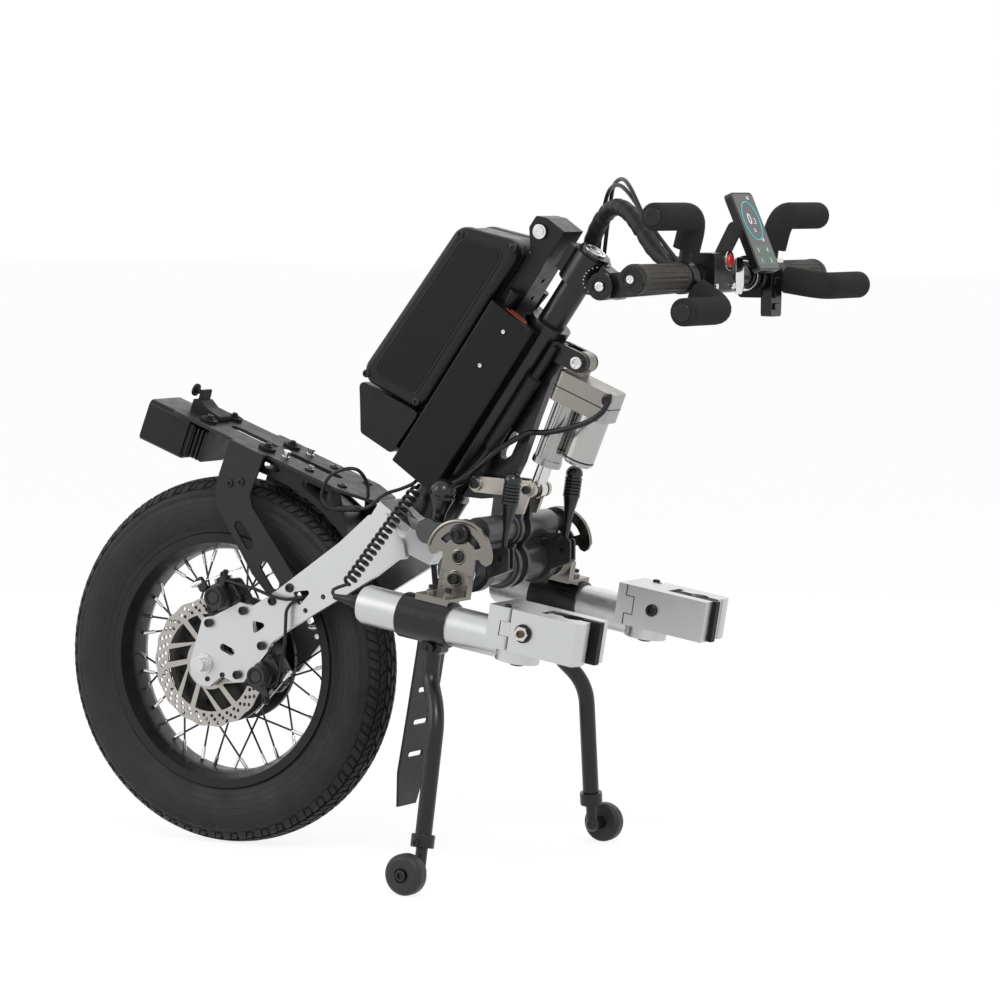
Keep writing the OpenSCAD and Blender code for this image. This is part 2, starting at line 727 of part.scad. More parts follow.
module grips() {
    start = hub_y[1] + 2;
    len = bar_w / 2 - start;
    color("#4b463f") both_sides() from_axle() translate([bar_side.x, start, bar_side.y]) rotate([-90, 0, 0])
        difference() {
            union() {
                cylinder(h = len - 4, r = grip_d / 2 - 0.6);
                cylinder(h = 5, r = grip_d / 2);
                translate([0, 0, len - 12]) cylinder(h = 8, r = grip_d / 2);
                translate([0, 0, len - 5]) cylinder(h = 5, r = grip_d / 2 - 4);
            }
            for (i = [0 : flutes - 1])
                rotate(i * 360 / flutes) translate([grip_d / 2 + flute_r / 3, 0, 7])
                    cylinder(h = len - 21, r = flute_r);
            translate([0, 0, -1]) cylinder(h = len - 2 + seat_gap, r = bar_r + 0.1);
        }
}

// Sub-part: a foam-covered double L bar that turns on the handlebar

module foam_bar(corner, start) {
    mid = (hub_y[0] + hub_y[1]) / 2;
    hub = [bar_side.x, mid, bar_side.y];
    base = [start.x, mid, start.y];
    bend = [corner.x, mid, corner.y];
    rod(hub + (bar_r + 4) * unit(base - hub), base + 6 * unit(bend - base), 13);
    rod(base, bend, foam_d - 5);
    cross_pin(corner, mid - foam_d / 2, foam_reach - 4 - mid + foam_d / 2, foam_d / 2);
    cross_pin(corner, foam_reach - 5, 5, foam_d / 2 - 4);
}

module double_l(low, low_start) {
    from_axle() difference() {
        union() {
            cross_pin(bar_side, hub_y[0], hub_y[1] - hub_y[0], 19);
            foam_bar(up_grip, bar_side + [-4, 32]);
            foam_bar(low, bar_side + low_start);
        }
        cross_pin(bar_side, 0, 300, bar_r + run_gap);
    }
}

module brake_handle() {
    color(foam_grey) double_l(low_side, [-28, -24]);
}

module throttle_handle() {
    color(foam_grey) mirror([0, 1, 0]) double_l(low_right, [-36, -9]);
}

// Display, switch pod and button
display_size = [58, 98, 9];
display_lean = 24;
display_mid = [-703.5, 538.5];
pod_y = [34, 82];
pod_x = [-700, -664];
pod_z = [-17, 28];
cable_stops = [[18, 10], [19.5, -3]];
button_place = [44, 19];
button_r = 7;
button_travel = 2.5;

module rounded_box(w, h, d, r) {
    linear_extrude(d) polygon(rounded([[-w / 2, -h / 2], [w / 2, -h / 2], [w / 2, h / 2], [-w / 2, h / 2]], r));
}

module display() {
    color(black) from_axle() {
        translate([display_mid.x, 0, display_mid.y]) rotate([0, display_lean - 90, 0]) rotate(90)
            rounded_box(display_size.x, display_size.y, display_size.z, 6);
        difference() {
            union() {
                cross_pin(bar_side, 24, 9, 17);
                side_plate(24, 4) link(bar_side + [2, 10], display_mid + [6, 6], 18);
            }
            cross_pin(bar_side, 0, 80, bar_r + 0.1);
            translate([display_mid.x, 0, display_mid.y]) rotate([0, display_lean - 90, 0])
                translate([-60, -60, 0]) cube([120, 120, 60]);
        }
    }
}

module control_pods() {
    color(black) from_axle() difference() {
        union() {
            translate([bar_side.x, 0, bar_side.y]) side_plate(pod_y[0], pod_y[1] - pod_y[0])
                polygon(rounded([[pod_x[0] - bar_side.x, pod_z[0]], [pod_x[1] - bar_side.x, pod_z[0]],
                    [pod_x[1] - bar_side.x, pod_z[1]], [pod_x[0] - bar_side.x, pod_z[1]]], 5));
            cross_pin(bar_side, pod_y[1], 14, 16);
            for (p = cable_stops)
                cross_pin(bar_side + p, pod_y[1] + 2, 12, 6);
            cross_pin(bar_side, -96, 40, 16);
            translate([bar_side.x, 0, bar_side.y]) side_plate(-92, 34)
                polygon(rounded([[-20, -26], [14, -26], [14, 22], [-12, 26]], 5));
        }
        cross_pin(bar_side, -140, 280, bar_r + 0.1);
        translate([pod_x[0] - 1, button_place.x, bar_side.y + button_place.y]) rotate([0, 90, 0])
            cylinder(h = 9 + button_travel, r = button_r + run_gap);
    }
}

module red_button() {
    color(red) from_axle() translate([pod_x[0], button_place.x, bar_side.y + button_place.y]) rotate([0, 90, 0]) {
        translate([0, 0, -4]) cylinder(h = 11, r = button_r);
    }
}

module handlebar_cables() {
    color(black) from_axle() {
        tube(smooth(sleeve_route, 2), 17, 10);
        for (route = cable_routes)
            tube(smooth(route, 2), 5, 8);
    }
}

// Column: head tube, gusset frame, controller box
bearing_h = 24;

module head_tube() {
    color(satin_black) on_column() difference() {
        union() {
            translate([0, 0, head_s[0]]) cylinder(h = head_s[1] - head_s[0], r = head_r);
            translate([0, 0, head_s[0]]) cylinder(h = box_s[0] - seat_gap - head_s[0], r = cup_r);
            translate([0, 0, head_s[1]]) cylinder(h = ring_h, r = ring_r);
        }
        translate([0, 0, head_s[0] - 1]) cylinder(h = 400, r = steerer_r + run_gap);
        translate([0, 0, head_s[0] + bearing_h])
            cylinder(h = head_s[1] + ring_h - head_s[0] - 2 * bearing_h, r = steerer_r + 2);
    }
}

gusset_front = -(head_r + seat_gap);
gusset_top = column(gusset_front, 592);
gusset_low = column(gusset_front, 366);
gusset_edge = [[-356, 216], [-376, 218], [-398, 240], [-410, 262], [-431, 318], [-449, 362], [-466, 386],
    [-474, 404]];
gusset_window = [column(-36, 560), [-415, 309], [-396, 270], [-378, 259], column(-36, 444)];
clevis_root = [-458, 396];
clevis_in = 8.5;
clevis_t = 6;
eye_r = 13;
eye_pin_r = 5;

module gusset_frame() {
    color(black) from_axle() difference() {
        union() {
            side_plate(-gusset_t / 2, gusset_t) difference() {
                union() {
                    polygon(concat([gusset_top, gusset_low], gusset_edge));
                    translate(lift_pivot) circle(r = 18);
                }
                polygon(rounded(gusset_window, 5));
                translate(actuator_point) circle(r = eye_r + 3);
            }
            both_sides() side_plate(clevis_in, clevis_t) link(clevis_root, actuator_point, 24);
            cross_pin(clevis_root, -clevis_in - clevis_t, 2 * (clevis_in + clevis_t), 11);
            cross_pin(actuator_point, -clevis_in - clevis_t, 2 * (clevis_in + clevis_t), eye_pin_r);
        }
        cross_pin(lift_pivot, -50, 100, lift_pin_d / 2 + run_gap);
        on_head_clear();
    }
}

module on_head_clear() {
    rotate([0, head_angle - 90, 0]) translate([-fork_offset, 0, 300]) cylinder(h = 400, r = head_r + seat_gap);
}

module controller_box() {
    half = box_w / 2;
    rear = -6;
    color(black) on_column() {
        difference() {
            translate([0, 0, box_s[0]]) linear_extrude(box_s[1] - box_s[0])
                polygon(rounded([[rear, -half], [box_depth, -half], [box_depth, half], [rear, half]], 3));
            translate([0, 0, box_s[0] - 1]) cylinder(h = 400, r = head_r + seat_gap);
            block([-60, 0], [-head_r - seat_gap, head_r + seat_gap], [box_s[0] - 1, box_s[1] + 1]);
            translate([0, 0, box_s[1] - 12]) cylinder(h = 20, r = ring_r + 5);
            block([14, 48], [half - 15, half - 11], [box_s[1] - 2, box_s[1] + 2]);
        }
        for (y = [-1, 1])
            translate([46, y * 33, box_s[1]]) cylinder(h = 23, r1 = 6, r2 = 9);
    }
}

// Battery with its dock, rail and lock
battery_outline = [[162, 410], [67, 427], [65, 677], [152, 641]];
dock_outline = [[139, 384], [158, 409], [67, 425.5], [70, 362], [119, 357]];
dock_lip = 0.5;
rail_half = 22;
lock_half = 24;
key_place = [64, 694];
key_r = 6;

module battery_case() {
    half = battery_w / 2;
    inner = half - battery_round;
    color(black) on_column() {
        side_plate(-inner, 2 * inner) polygon(rounded(battery_outline, 10));
        for (k = [0 : 3]) {
            a = k * 30;
            step = battery_round * (sin(a + 30) - sin(a));
            both_sides() side_plate(inner + battery_round * sin(a) - 0.02, step + 0.02) if (k < 3)
                polygon(rounded(inset_outline(battery_outline, battery_round * (1 - cos(a + 15)) * 0.7), 10));
        }
        both_sides() side_plate(half - 0.4, 1.6)
            polygon(rounded(inset_outline(battery_outline, battery_round + 8), 8));
    }
}

function inset_outline(p, d) =
    let (c = (p[0] + p[1] + p[2] + p[3]) / 4) [for (q = p) c + (q - c) * (1 - d / norm(q - c) * 1.2)];

module battery_dock() {
    half = battery_w / 2 - 3;
    color(black) on_column() {
        side_plate(-half, 2 * half) polygon(rounded([for (p = dock_outline) p - [0, dock_lip]], 6));
        block([box_depth + seat_gap, 76], [-rail_half, rail_half], [365, 400]);
    }
}

module battery_rail() {
    color(satin_black) on_column() difference() {
        union() {
            block([box_depth + seat_gap, 64.6], [-rail_half, rail_half], [428, rail_s[0] + 2]);
            block([38, 64.6], [-rail_half, rail_half], [rail_s[0] + seat_gap, 664]);
            block([38, 60], [-lock_half, lock_half], [660, rail_s[1]]);
            side_plate(-lock_half, 2 * lock_half)
                polygon(rounded([[44, 664], [60, 664], [80, 689], [80, 706], [66, rail_s[1]], [44, rail_s[1]]], 4));
            cross_pin(key_place, 0, lock_half + 3, 9);
        }
        for (y = [-1, 1])
            block([44, 58], [y * 14 - 4, y * 14 + 4], [rail_s[0] - 1, 655]);
        cross_pin(key_place, lock_half - 12, 40, key_r + run_gap);
        for (s = [615, 640])
            translate([30, 0, s]) rotate([0, 90, 0]) cylinder(h = 20, r = 3);
    }
}

module key_cylinder() {
    color(stainless) on_column() difference() {
        cross_pin(key_place, lock_half - 12 + seat_gap, 17, key_r);
        translate([key_place.x, 0, key_place.y]) rotate([0, 35, 0])
            block([-4, 4], [lock_half + 2, lock_half + 20], [-0.6, 0.6]);
    }
}

module wiring_loom() {
    color(rubber_black) {
        on_column() translate([loom_place.x, loom_place.y, 0]) {
            translate([0, 0, 440]) cylinder(h = 100, r = 9);
            translate([0, 0, 540]) cylinder(h = 6, r = 9.4);
            translate([0, 0, 546]) cylinder(h = 46, r = 5.5);
        }
        on_column() tube(smooth(loom_route, 2), 11, 10);
        from_axle() tube(smooth(actuator_lead, 3), 7, 8);
    }
}

// Lift actuator
gear_z = [-53, -16];
gear_x = [-60, 19];
gear_half = 21;
tube_low = -132;
motor_x = -38;
motor_low = -112;
rod_top = -72;
rod_stroke = 13.6;
rod_room = 2;

module actuator_housing() {
    color(beige) on_actuator() difference() {
        union() {
            side_plate(-clevis_in + seat_gap, 2 * (clevis_in - seat_gap)) {
                circle(r = eye_r);
                translate([-9, gear_z[1]]) square([18, -gear_z[1]]);
            }
            translate([0, 0, gear_z[0]]) linear_extrude(gear_z[1] - gear_z[0])
                polygon(rounded([[gear_x[0], -gear_half], [gear_x[1], -gear_half], [gear_x[1], gear_half],
                    [gear_x[0], gear_half]], 9));
            translate([0, 0, tube_low]) cylinder(h = gear_z[0] - tube_low, d = actuator_d - 4);
            for (a = [0 : 45 : 315])
                rotate(a) translate([actuator_d / 2 - 4, 0, tube_low + 1]) cylinder(h = gear_z[0] - tube_low, r = 3.5);
            translate([0, 0, tube_low]) cylinder(h = 8, d = actuator_d);
        }
        side_plate(-40, 80) circle(r = eye_pin_r + run_gap);
        translate([0, 0, tube_low - 1])
            cylinder(h = rod_top + rod_stroke + rod_room - tube_low + 1, r = rod_d / 2 + run_gap);
    }
}

module actuator_motor() {
    color(silver) on_actuator() translate([motor_x, 0, 0]) {
        translate([0, 0, motor_low - 3]) cylinder(h = 4, d = motor_d - 8);
        translate([0, 0, motor_low]) cylinder(h = gear_z[0] - motor_low - seat_gap, d = motor_d - 2);
    }
}

module actuator_rod() {
    eye_w = gusset_t / 2 - 0.5;
    color(stainless) on_actuator() difference() {
        union() {
            translate([0, 0, -actuator_len + 6]) cylinder(h = actuator_len - 6 + rod_top, r = rod_d / 2);
            side_plate(-eye_w, 2 * eye_w) translate([0, -actuator_len]) circle(r = 12);
        }
        side_plate(-40, 80) translate([0, -actuator_len]) circle(r = eye_pin_r + 0.9);
    }
}

// Cross beam, crank and width clamps
lower_r = lower_tube_d / 2;
upper_r = upper_tube_d / 2;
flange_neck = [[-414, 190], [-414, 226], [-404, 238], [-386, 238], [-377, 226], [-372, 190]];

module flange() {
    translate(upper_point) circle(r = upper_r + 5);
    translate(lower_point) circle(r = lower_r + 6);
    link(upper_point, lower_point, 30);
    polygon(rounded(flange_neck, 6));
}

module weld(p, r) {
    translate([p.x, flange_out, p.y]) rotate([-90, 0, 0]) rotate_extrude() translate([r, 0]) circle(r = 2.6, $fn = 16);
}

module cross_beam() {
    color(dark_grey) from_axle() difference() {
        union() {
            both_sides() {
                side_plate(flange_y, flange_t) flange();
                cross_pin(upper_point, flange_out - 1, beam_end - flange_out + 1, upper_r);
                side_plate(flange_out - 1, beam_end - flange_out - 12) link(upper_point, lower_point, 15);
                weld(upper_point, upper_r);
                weld(lower_point, lower_r);
            }
            cross_pin(lower_point, -beam_end, 2 * beam_end, lower_r);
        }
        both_sides() {
            cross_pin(upper_point, 22, 100, upper_inner_d / 2 + run_gap);
            cross_pin(lower_point, 22, 100, lower_inner_d / 2 + run_gap);
        }
    }
}

module crank_bars() {
    crank_out = crank_y + crank_t;
    color(beige) from_axle() {
        both_sides() {
            side_plate(crank_y, crank_t) {
                link(lift_pivot, rod_point, 20);
                polygon([rod_point + [0, -9], rod_point + [36, -9], rod_point + [17, -30], rod_point + [8, -30]]);
            }
            cross_pin(lift_pivot, crank_out, 4, 8);
            cross_pin(rod_point, crank_out, 4, 7);
            cross_pin([-403, 210.5], crank_y, 9, 5.5);
        }
        cross_pin(lift_pivot, -crank_out, 2 * crank_out, lift_pin_d / 2);
        cross_pin(rod_point, -crank_out, 2 * crank_out, eye_pin_r);
    }
}

width_pivot = [-424, 152];
clamp_ring_y = [70, 85];
lug_cheek = 3.5;
lever_w = 7;
lever_pin_r = 3;

module width_clamps() {
    color(black) both_sides() from_axle() difference() {
        union() {
            cross_pin(lower_point, clamp_ring_y[0], clamp_ring_y[1] - clamp_ring_y[0], lower_r + 5);
            side_plate(clamp_ring_y[0], clamp_ring_y[1] - clamp_ring_y[0])
                polygon(rounded([[-384, 119], [-436, 138], [-436, 166], [-400, 162]], 4));
        }
        cross_pin(lower_point, 0, 200, lower_r + seat_gap);
        side_plate(60, 40) link(upper_point, lower_point, 15 + 2 * seat_gap);
        side_plate(clamp_ring_y[0] + lug_cheek, lever_w + 2 * seat_gap) {
            translate(width_pivot) circle(r = 11);
            translate(width_pivot - [40, 11]) square([46, 60]);
        }
        cross_pin(width_pivot, 0, 200, lever_pin_r + run_gap);
    }
}

// Levers: a cam barrel, a stem that swells, and a grooved round end
module lever(len, end_d, neck_d, barrel_w, barrel_r) {
    knob = [[0, 6], [neck_d / 2, 6], [neck_d / 2 + 0.5, len * 0.35], [end_d / 2 - 1, len * 0.62]];
    count = floor((len * 0.36 - end_d / 2) / 4);
    grooves = [for (i = [0 : count - 1]) each [[end_d / 2, len * 0.64 + i * 4], [end_d / 2, len * 0.64 + i * 4 + 2.6],
        [end_d / 2 - 1.2, len * 0.64 + i * 4 + 3.3]]];
    dome = [for (a = [0 : 15 : 90]) [end_d / 2 * cos(a), len - end_d / 2 + end_d / 2 * sin(a)]];
    rotate([90, 0, 0]) translate([0, 0, -barrel_w / 2]) cylinder(h = barrel_w, r = barrel_r);
    rotate_extrude() polygon(concat(knob, grooves, dome));
    translate([0, 0, barrel_r / 2]) cylinder(h = 12 - barrel_r / 2, d = min(neck_d, barrel_w) - 0.4);
}

module width_lever(side) {
    lever_y = clamp_ring_y[0] + lug_cheek + seat_gap + lever_w / 2;
    color(black) on_side(side) from_axle() {
        translate([width_pivot.x, lever_y, width_pivot.y]) rotate([0, -8, 0]) lever(104, 21, lever_w, lever_w, 9);
        cross_pin(width_pivot, clamp_ring_y[0] + 1, clamp_ring_y[1] - clamp_ring_y[0] - 2, lever_pin_r);
    }
}

module width_lever_left() {
    width_lever(1);
}

module width_lever_right() {
    width_lever(-1);
}

boss_point = [-346, 184];
angle_lever_y = 100;

module angle_lever() {
    color(black) from_axle() translate([boss_point.x, angle_lever_y, boss_point.y]) difference() {
        rotate([0, -12, 0]) lever(62, 30, 15, 16, 14);
        rotate([90, 0, 0]) translate([0, 0, -30]) cylinder(h = 60, r = 5 + run_gap);
    }
}

// Telescopic inner arms
module inner_arm(side) {
    block_end = arm_block_y + arm_block_t;
    color(silver) on_side(side) from_axle() {
        difference() {
            union() {
                cross_pin(upper_point, 26, arm_block_y - 26, upper_inner_d / 2);
                cross_pin(lower_point, 26, arm_block_y - 26, lower_inner_d / 2);
                side_plate(arm_block_y, arm_block_t) {
                    translate(upper_point) circle(r = upper_inner_d / 2 + 6);
                    translate(lower_point) circle(r = lower_inner_d / 2 + 6);
                    link(upper_point, lower_point, 34);
                    link(upper_point, boss_point, 22);
                    translate(boss_point) circle(r = 15);
                }
            }
            cross_pin(lower_point, 0, arm_block_y - 4, lower_inner_d / 2 - 3);
        }
        cross_pin(plate_pivot, block_end - 1, 1 + seat_gap + angle_plate_t + 1, 8);
        cross_pin(upper_point, block_end - 1, 1 + seat_gap + angle_plate_t + 4, 4);
        cross_pin(upper_point, block_end + 2 * seat_gap + angle_plate_t, 3, 11);
        cross_pin(upper_point, block_end + 2 * seat_gap + angle_plate_t + 3, 6, 7);
        cross_pin(boss_point, angle_lever_y - 11, arm_block_y - angle_lever_y + 11, 5);
        cross_pin(boss_point, angle_lever_y - 11, 2.5, 9);
    }
}

module inner_arm_left() {
    inner_arm(1);
}

module inner_arm_right() {
    inner_arm(-1);
}

// Angle plates, clamps, jaws and pads, drawn in the clamp's tilted frame
plate_top_r = 44;
stem_w = 44;
foot_t = 4;
saddle_r = clamp_tube_d / 2 + band_wall + 2 * seat_gap;
foot_z = saddle_r - clamp_drop;

slot_from = slot_mid - slot_sweep;
slot_to = slot_mid + slot_sweep;

module plate_outline() {
    difference() {
        union() {
            intersection() {
                circle(r = plate_top_r);
                translate([-60, -8]) square([120, 80]);
            }
            translate([-43, -15]) square([86, 14]);
            translate([-stem_w / 2, foot_z + foot_t / 2]) square([stem_w, -foot_z - foot_t / 2]);
        }
        circle(r = 8 + run_gap);
        for (side = [-1, 1])
            translate([side * 29, -17]) circle(r = 5);
        polygon(concat(arc_points(slot_r + slot_half, slot_from + 2, slot_to - 2, 14),
            cap_arc(at([0, 0], slot_r, slot_to), slot_half, slot_to),
            arc_points(slot_r - slot_half, slot_to - 2, slot_from + 2, 14),
            cap_arc(at([0, 0], slot_r, slot_from), slot_half, slot_from + 180)));
    }
}

module angle_plate(side) {
    color(stainless) on_clamp(side) {
        side_plate(angle_plate_y, angle_plate_t) plate_outline();
        block([-stem_w / 2, -stem_w / 2 + 3], [angle_plate_y + 1, angle_plate_y + 13], [foot_z + 1, -20]);
        difference() {
            union() {
                block([-stem_w / 2, stem_w / 2], [angle_plate_y, clamp_y + 14], [foot_z, foot_z + foot_t]);
                block([-stem_w / 2, stem_w / 2], [clamp_y - 14, clamp_y + 14], [foot_z - 5, foot_z + 1]);
            }
            translate([-100, clamp_y, -clamp_drop]) rotate([0, 90, 0]) cylinder(h = 200, r = saddle_r);
        }
        for (x = [-11, 11])
            translate([x, clamp_y - 4, foot_z + foot_t - 1]) cylinder(h = 5, r = 6);
        cross_pin([0, -26], angle_plate_y + angle_plate_t - 1, 4, 9);
    }
}

module angle_plate_left() {
    angle_plate(1);
}

module angle_plate_right() {
    angle_plate(-1);
}

module jaw_zone(z0, z1, grow) {
    translate([jaw_hinge.x, clamp_y + jaw_hinge.y, z0]) cylinder(h = z1 - z0, r = knuckle_r + grow);
}

module chair_tube(grow) {
    translate([chair_tube_x, clamp_y + mouth_mid, jaw_low - 10]) cylinder(h = jaw_h + 20, d = chair_tube_d + grow);
}

module clamp(side) {
    knuckle_z = [jaw_low + jaw_h / 3, jaw_low + 2 * jaw_h / 3];
    color(silver) on_clamp(side) {
        difference() {
            union() {
                translate([block_x[1] - 10, clamp_y, -clamp_drop]) rotate([0, 90, 0])
                    cylinder(h = tube_front - block_x[1] + 6, d = clamp_tube_d);
                translate([tube_front - 4, clamp_y, -clamp_drop]) rotate([0, 90, 0])
                    cylinder(h = 4, d = clamp_tube_d - 4);
                block(block_x, [clamp_y - block_half, clamp_y + mouth_half + mouth_mid], [jaw_low, jaw_low + jaw_h]);
                block([jaw_hinge.x, block_x[1]], [clamp_y, clamp_y + block_half - 1], [jaw_low, jaw_low + jaw_h]);
                block([jaw_end, block_x[0] + 1], [clamp_y - block_half, clamp_y + mouth_mid - mouth_half],
                    [jaw_low, jaw_low + jaw_h]);
                translate([-116, clamp_y, jaw_low - 15]) cylinder(h = 15 - seat_gap, r = 26);
                translate([-116, clamp_y, jaw_low - 4]) cylinder(h = 5, r = 14);
                jaw_zone(jaw_low, jaw_low + jaw_h, 0);
            }
            jaw_zone(knuckle_z[0] - seat_gap, knuckle_z[1] + seat_gap, seat_gap + 0.5);
            block([block_x[0] - 1, jaw_hinge.x], [clamp_y + mouth_mid + mouth_half, clamp_y + 60],
                [knuckle_z[0] - seat_gap, knuckle_z[1] + seat_gap]);
            translate([-137, clamp_y, jaw_low + jaw_h / 2]) rotate([-90, 0, 0]) cylinder(h = 60, r = 6);
        }
        jaw_pin();
        translate([tube_front, clamp_y, -clamp_drop]) rotate([0, 90, 0]) cylinder(h = 24, r1 = 9, r2 = 5);
    }
}

module jaw_pin() {
    translate([jaw_hinge.x, clamp_y + jaw_hinge.y, jaw_low]) cylinder(h = jaw_h, r = hinge_pin_r);
}

module clamp_left() {
    clamp(1);
}

module clamp_right() {
    clamp(-1);
}

module jaw(side) {
    knuckle_z = [jaw_low + jaw_h / 3, jaw_low + 2 * jaw_h / 3];
    inside = clamp_y + mouth_mid + mouth_half;
    color(silver) on_clamp(side) difference() {
        union() {
            jaw_zone(knuckle_z[0], knuckle_z[1], 0);
            block([jaw_hinge.x - 16, jaw_hinge.x], [inside + 3, inside + 17], knuckle_z);
            translate([0, 0, jaw_low]) linear_extrude(jaw_h) polygon(rounded([[jaw_end, inside + seat_gap],
                [jaw_hinge.x - knuckle_r - 1.5, inside + seat_gap], [jaw_hinge.x - knuckle_r - 1.5, clamp_y + block_half],
                [jaw_end + 4, clamp_y + block_half]], 2.5));
            block([jaw_end + 3, block_x[0] - 8], [clamp_y + mouth_mid + pad_face, inside + 1], [jaw_low, jaw_low + jaw_h]);
            translate([-137, clamp_y + block_half - 1, jaw_low + jaw_h / 2]) rotate([-90, 0, 0]) {
                cylinder(h = 3, r = 11);
                cylinder(h = 8, r = 9, $fn = 6);
            }
        }
        jaw_zone_bore();
        chair_tube(0);
    }
}

module jaw_zone_bore() {
    translate([jaw_hinge.x, clamp_y + jaw_hinge.y, jaw_low - 1]) cylinder(h = jaw_h + 2, r = hinge_pin_r + run_gap);
}

module jaw_left() {
    jaw(1);
}

module jaw_right() {
    jaw(-1);
}

module pad(side) {
    back = clamp_y + mouth_mid - mouth_half + seat_gap;
    color(rubber_black) on_clamp(side) difference() {
        block([jaw_end - 5, block_x[0] - 8], [back, clamp_y + mouth_mid - pad_face], [jaw_low, jaw_low + jaw_h]);
        chair_tube(0);
    }
}

module pad_left() {
    pad(1);
}

module pad_right() {
    pad(-1);
}

// Legs with clamp bands, telescopic feet and rollers
module leg(side) {
    outer = clamp_tube_d / 2 + seat_gap + band_wall;
    color(black) {
        on_clamp(side) translate([band_x[0], clamp_y, -clamp_drop]) rotate([0, 90, 0]) difference() {
            union() {
                cylinder(h = band_x[1] - band_x[0], r = outer);
                translate([outer - 4, -10, 6]) cube([14, 20, 28]);
            }
            translate([0, 0, -1]) cylinder(h = 100, r = clamp_tube_d / 2 + seat_gap);
        }
        on_side(side) difference() {
            union() {
                rod(leg_top, leg_knee, leg_d);
                translate(leg_knee) sphere(d = leg_d + 0.6);
                rod(leg_knee, leg_bend, leg_d);
                translate(leg_bend) sphere(d = leg_d + 0.6);
                rod(leg_bend, leg_end, leg_d);
                rod(leg_end - collar_h * foot_slide, leg_end + foot_slide, 2 * collar_r);
            }
            rod(leg_end - 110 * foot_slide, leg_end + 20 * foot_slide, foot_d + 2 * run_gap);
            translate([0, 0, wheel_r]) leg_tube_clear();
        }
    }
}

module leg_tube_clear() {
    translate([plate_pivot.x, 0, plate_pivot.y]) rotate([0, -clamp_tilt, 0])
        translate([-150, clamp_y, -clamp_drop]) rotate([0, 90, 0]) cylinder(h = 300, r = clamp_tube_d / 2 + seat_gap);
}

module leg_left() {
    leg(1);
}

module leg_right() {
    leg(-1);
}

module foot(side) {
    color(satin_black) on_side(side) {
        rod(leg_end - 90 * foot_slide, foot_low, foot_d);
        translate(foot_low) sphere(d = foot_d + 3);
        cross_pin([foot_low.x, foot_low.z], foot_low.y, roller_y + roller_w - foot_low.y + 1, roller_pin_r);
        cross_pin([foot_low.x, foot_low.z], foot_low.y, roller_y - seat_gap - foot_low.y, 8);
    }
}

module foot_left() {
    foot(1);
}

module foot_right() {
    foot(-1);
}

module roller(side) {
    color(dark_grey) on_side(side) translate([foot_low.x, roller_y, foot_low.z]) rotate([-90, 0, 0]) difference() {
        rotate_extrude() polygon(concat([[0, 0], [roller_r - 5, 0]],
            corner_arc([roller_r - 6, 0], [roller_r, 0], [roller_r, roller_w], 5, 5),
            corner_arc([roller_r, 0], [roller_r, roller_w], [0, roller_w], 8, 6),
            [[9, roller_w], [9, roller_w - 3], [0, roller_w - 3]]));
        translate([0, 0, -1]) cylinder(h = roller_w + 2, r = roller_pin_r + run_gap);
    }
}

module roller_left() {
    roller(1);
}

module roller_right() {
    roller(-1);
}

// Coiled lead between the controller box and the left clamp, and the lamp lead
coil_axis = unit(coil_to - coil_from);
coil_u = unit(cross(coil_axis, [0, 0, 1]));
coil_v = cross(coil_axis, coil_u);
coil_steps = coil_turns * 8;

function coil_fade(k) = min(1, min(k, coil_steps - k) / 4);
coil_path = [for (k = [0 : coil_steps])
    coil_from + (coil_to - coil_from) * k / coil_steps
        + coil_r * coil_fade(k) * (cos(45 * k) * coil_u + sin(45 * k) * coil_v)];

module coil_cord() {
    head = [coil_to + 5 * coil_axis];
    color(rubber_black) from_axle() tube(concat(coil_tail, coil_path, head), coil_cord_d, 6);
}

module lamp_cord() {
    color(rubber_black) from_axle() {
        tube(smooth(lamp_route, 3), 4.4, 8);
        rod([-180, 56, 199], [-217, 56, 200.6], 8);
    }
}

echo(coil_cord_least_gap = least_gap(coil_path, coil_cord_d, 6));

place() tyre();
place() rim();
place() spokes();
place() hub_motor();
place() brake_disc();
place() axle();
place() fork_arm_left();
place() fork_arm_right();
place() fork_crown();
place() brake_calipers();
place() rack();
place() rack_fittings();
place() headlight_housing();
place() headlight_lens();
place() mudguards();
place() stem_base();
place() stem_arm();
place() handlebar();
place() grips();
place() display();
place() control_pods();
place() red_button();
place() brake_handle();
place() throttle_handle();
place() handlebar_cables();
place() head_tube();
place() gusset_frame();
place() controller_box();
place() battery_dock();
place() battery_rail();
place() wiring_loom();
place() battery_case();
place() key_cylinder();
place() actuator_housing();
place() actuator_motor();
place() actuator_rod();
place() cross_beam();
place() crank_bars();
place() width_clamps();
place() inner_arm_left();
place() inner_arm_right();
place() width_lever_left();
place() width_lever_right();
place() angle_lever();
place() angle_plate_left();
place() angle_plate_right();
place() clamp_left();
place() clamp_right();
place() pad_left();
place() pad_right();
place() jaw_left();
place() jaw_right();
place() leg_left();
place() leg_right();
place() foot_left();
place() foot_right();
place() roller_left();
place() roller_right();
place() coil_cord();
place() lamp_cord();
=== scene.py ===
"""Studio scene of an electric front-wheel drive that clamps onto a wheelchair's two frame tubes.

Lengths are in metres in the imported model's own frame: x runs forwards, y to the left and z up from the ground.
Places taken from the part's drawing are in millimetres from the wheel's axle and pass through spot().
"""

from __future__ import annotations

import json
import logging
import math
from contextlib import contextmanager
from dataclasses import dataclass, field
from enum import Enum
from typing import Callable, Iterator, Sequence

import bpy
from mathutils import Matrix, Vector


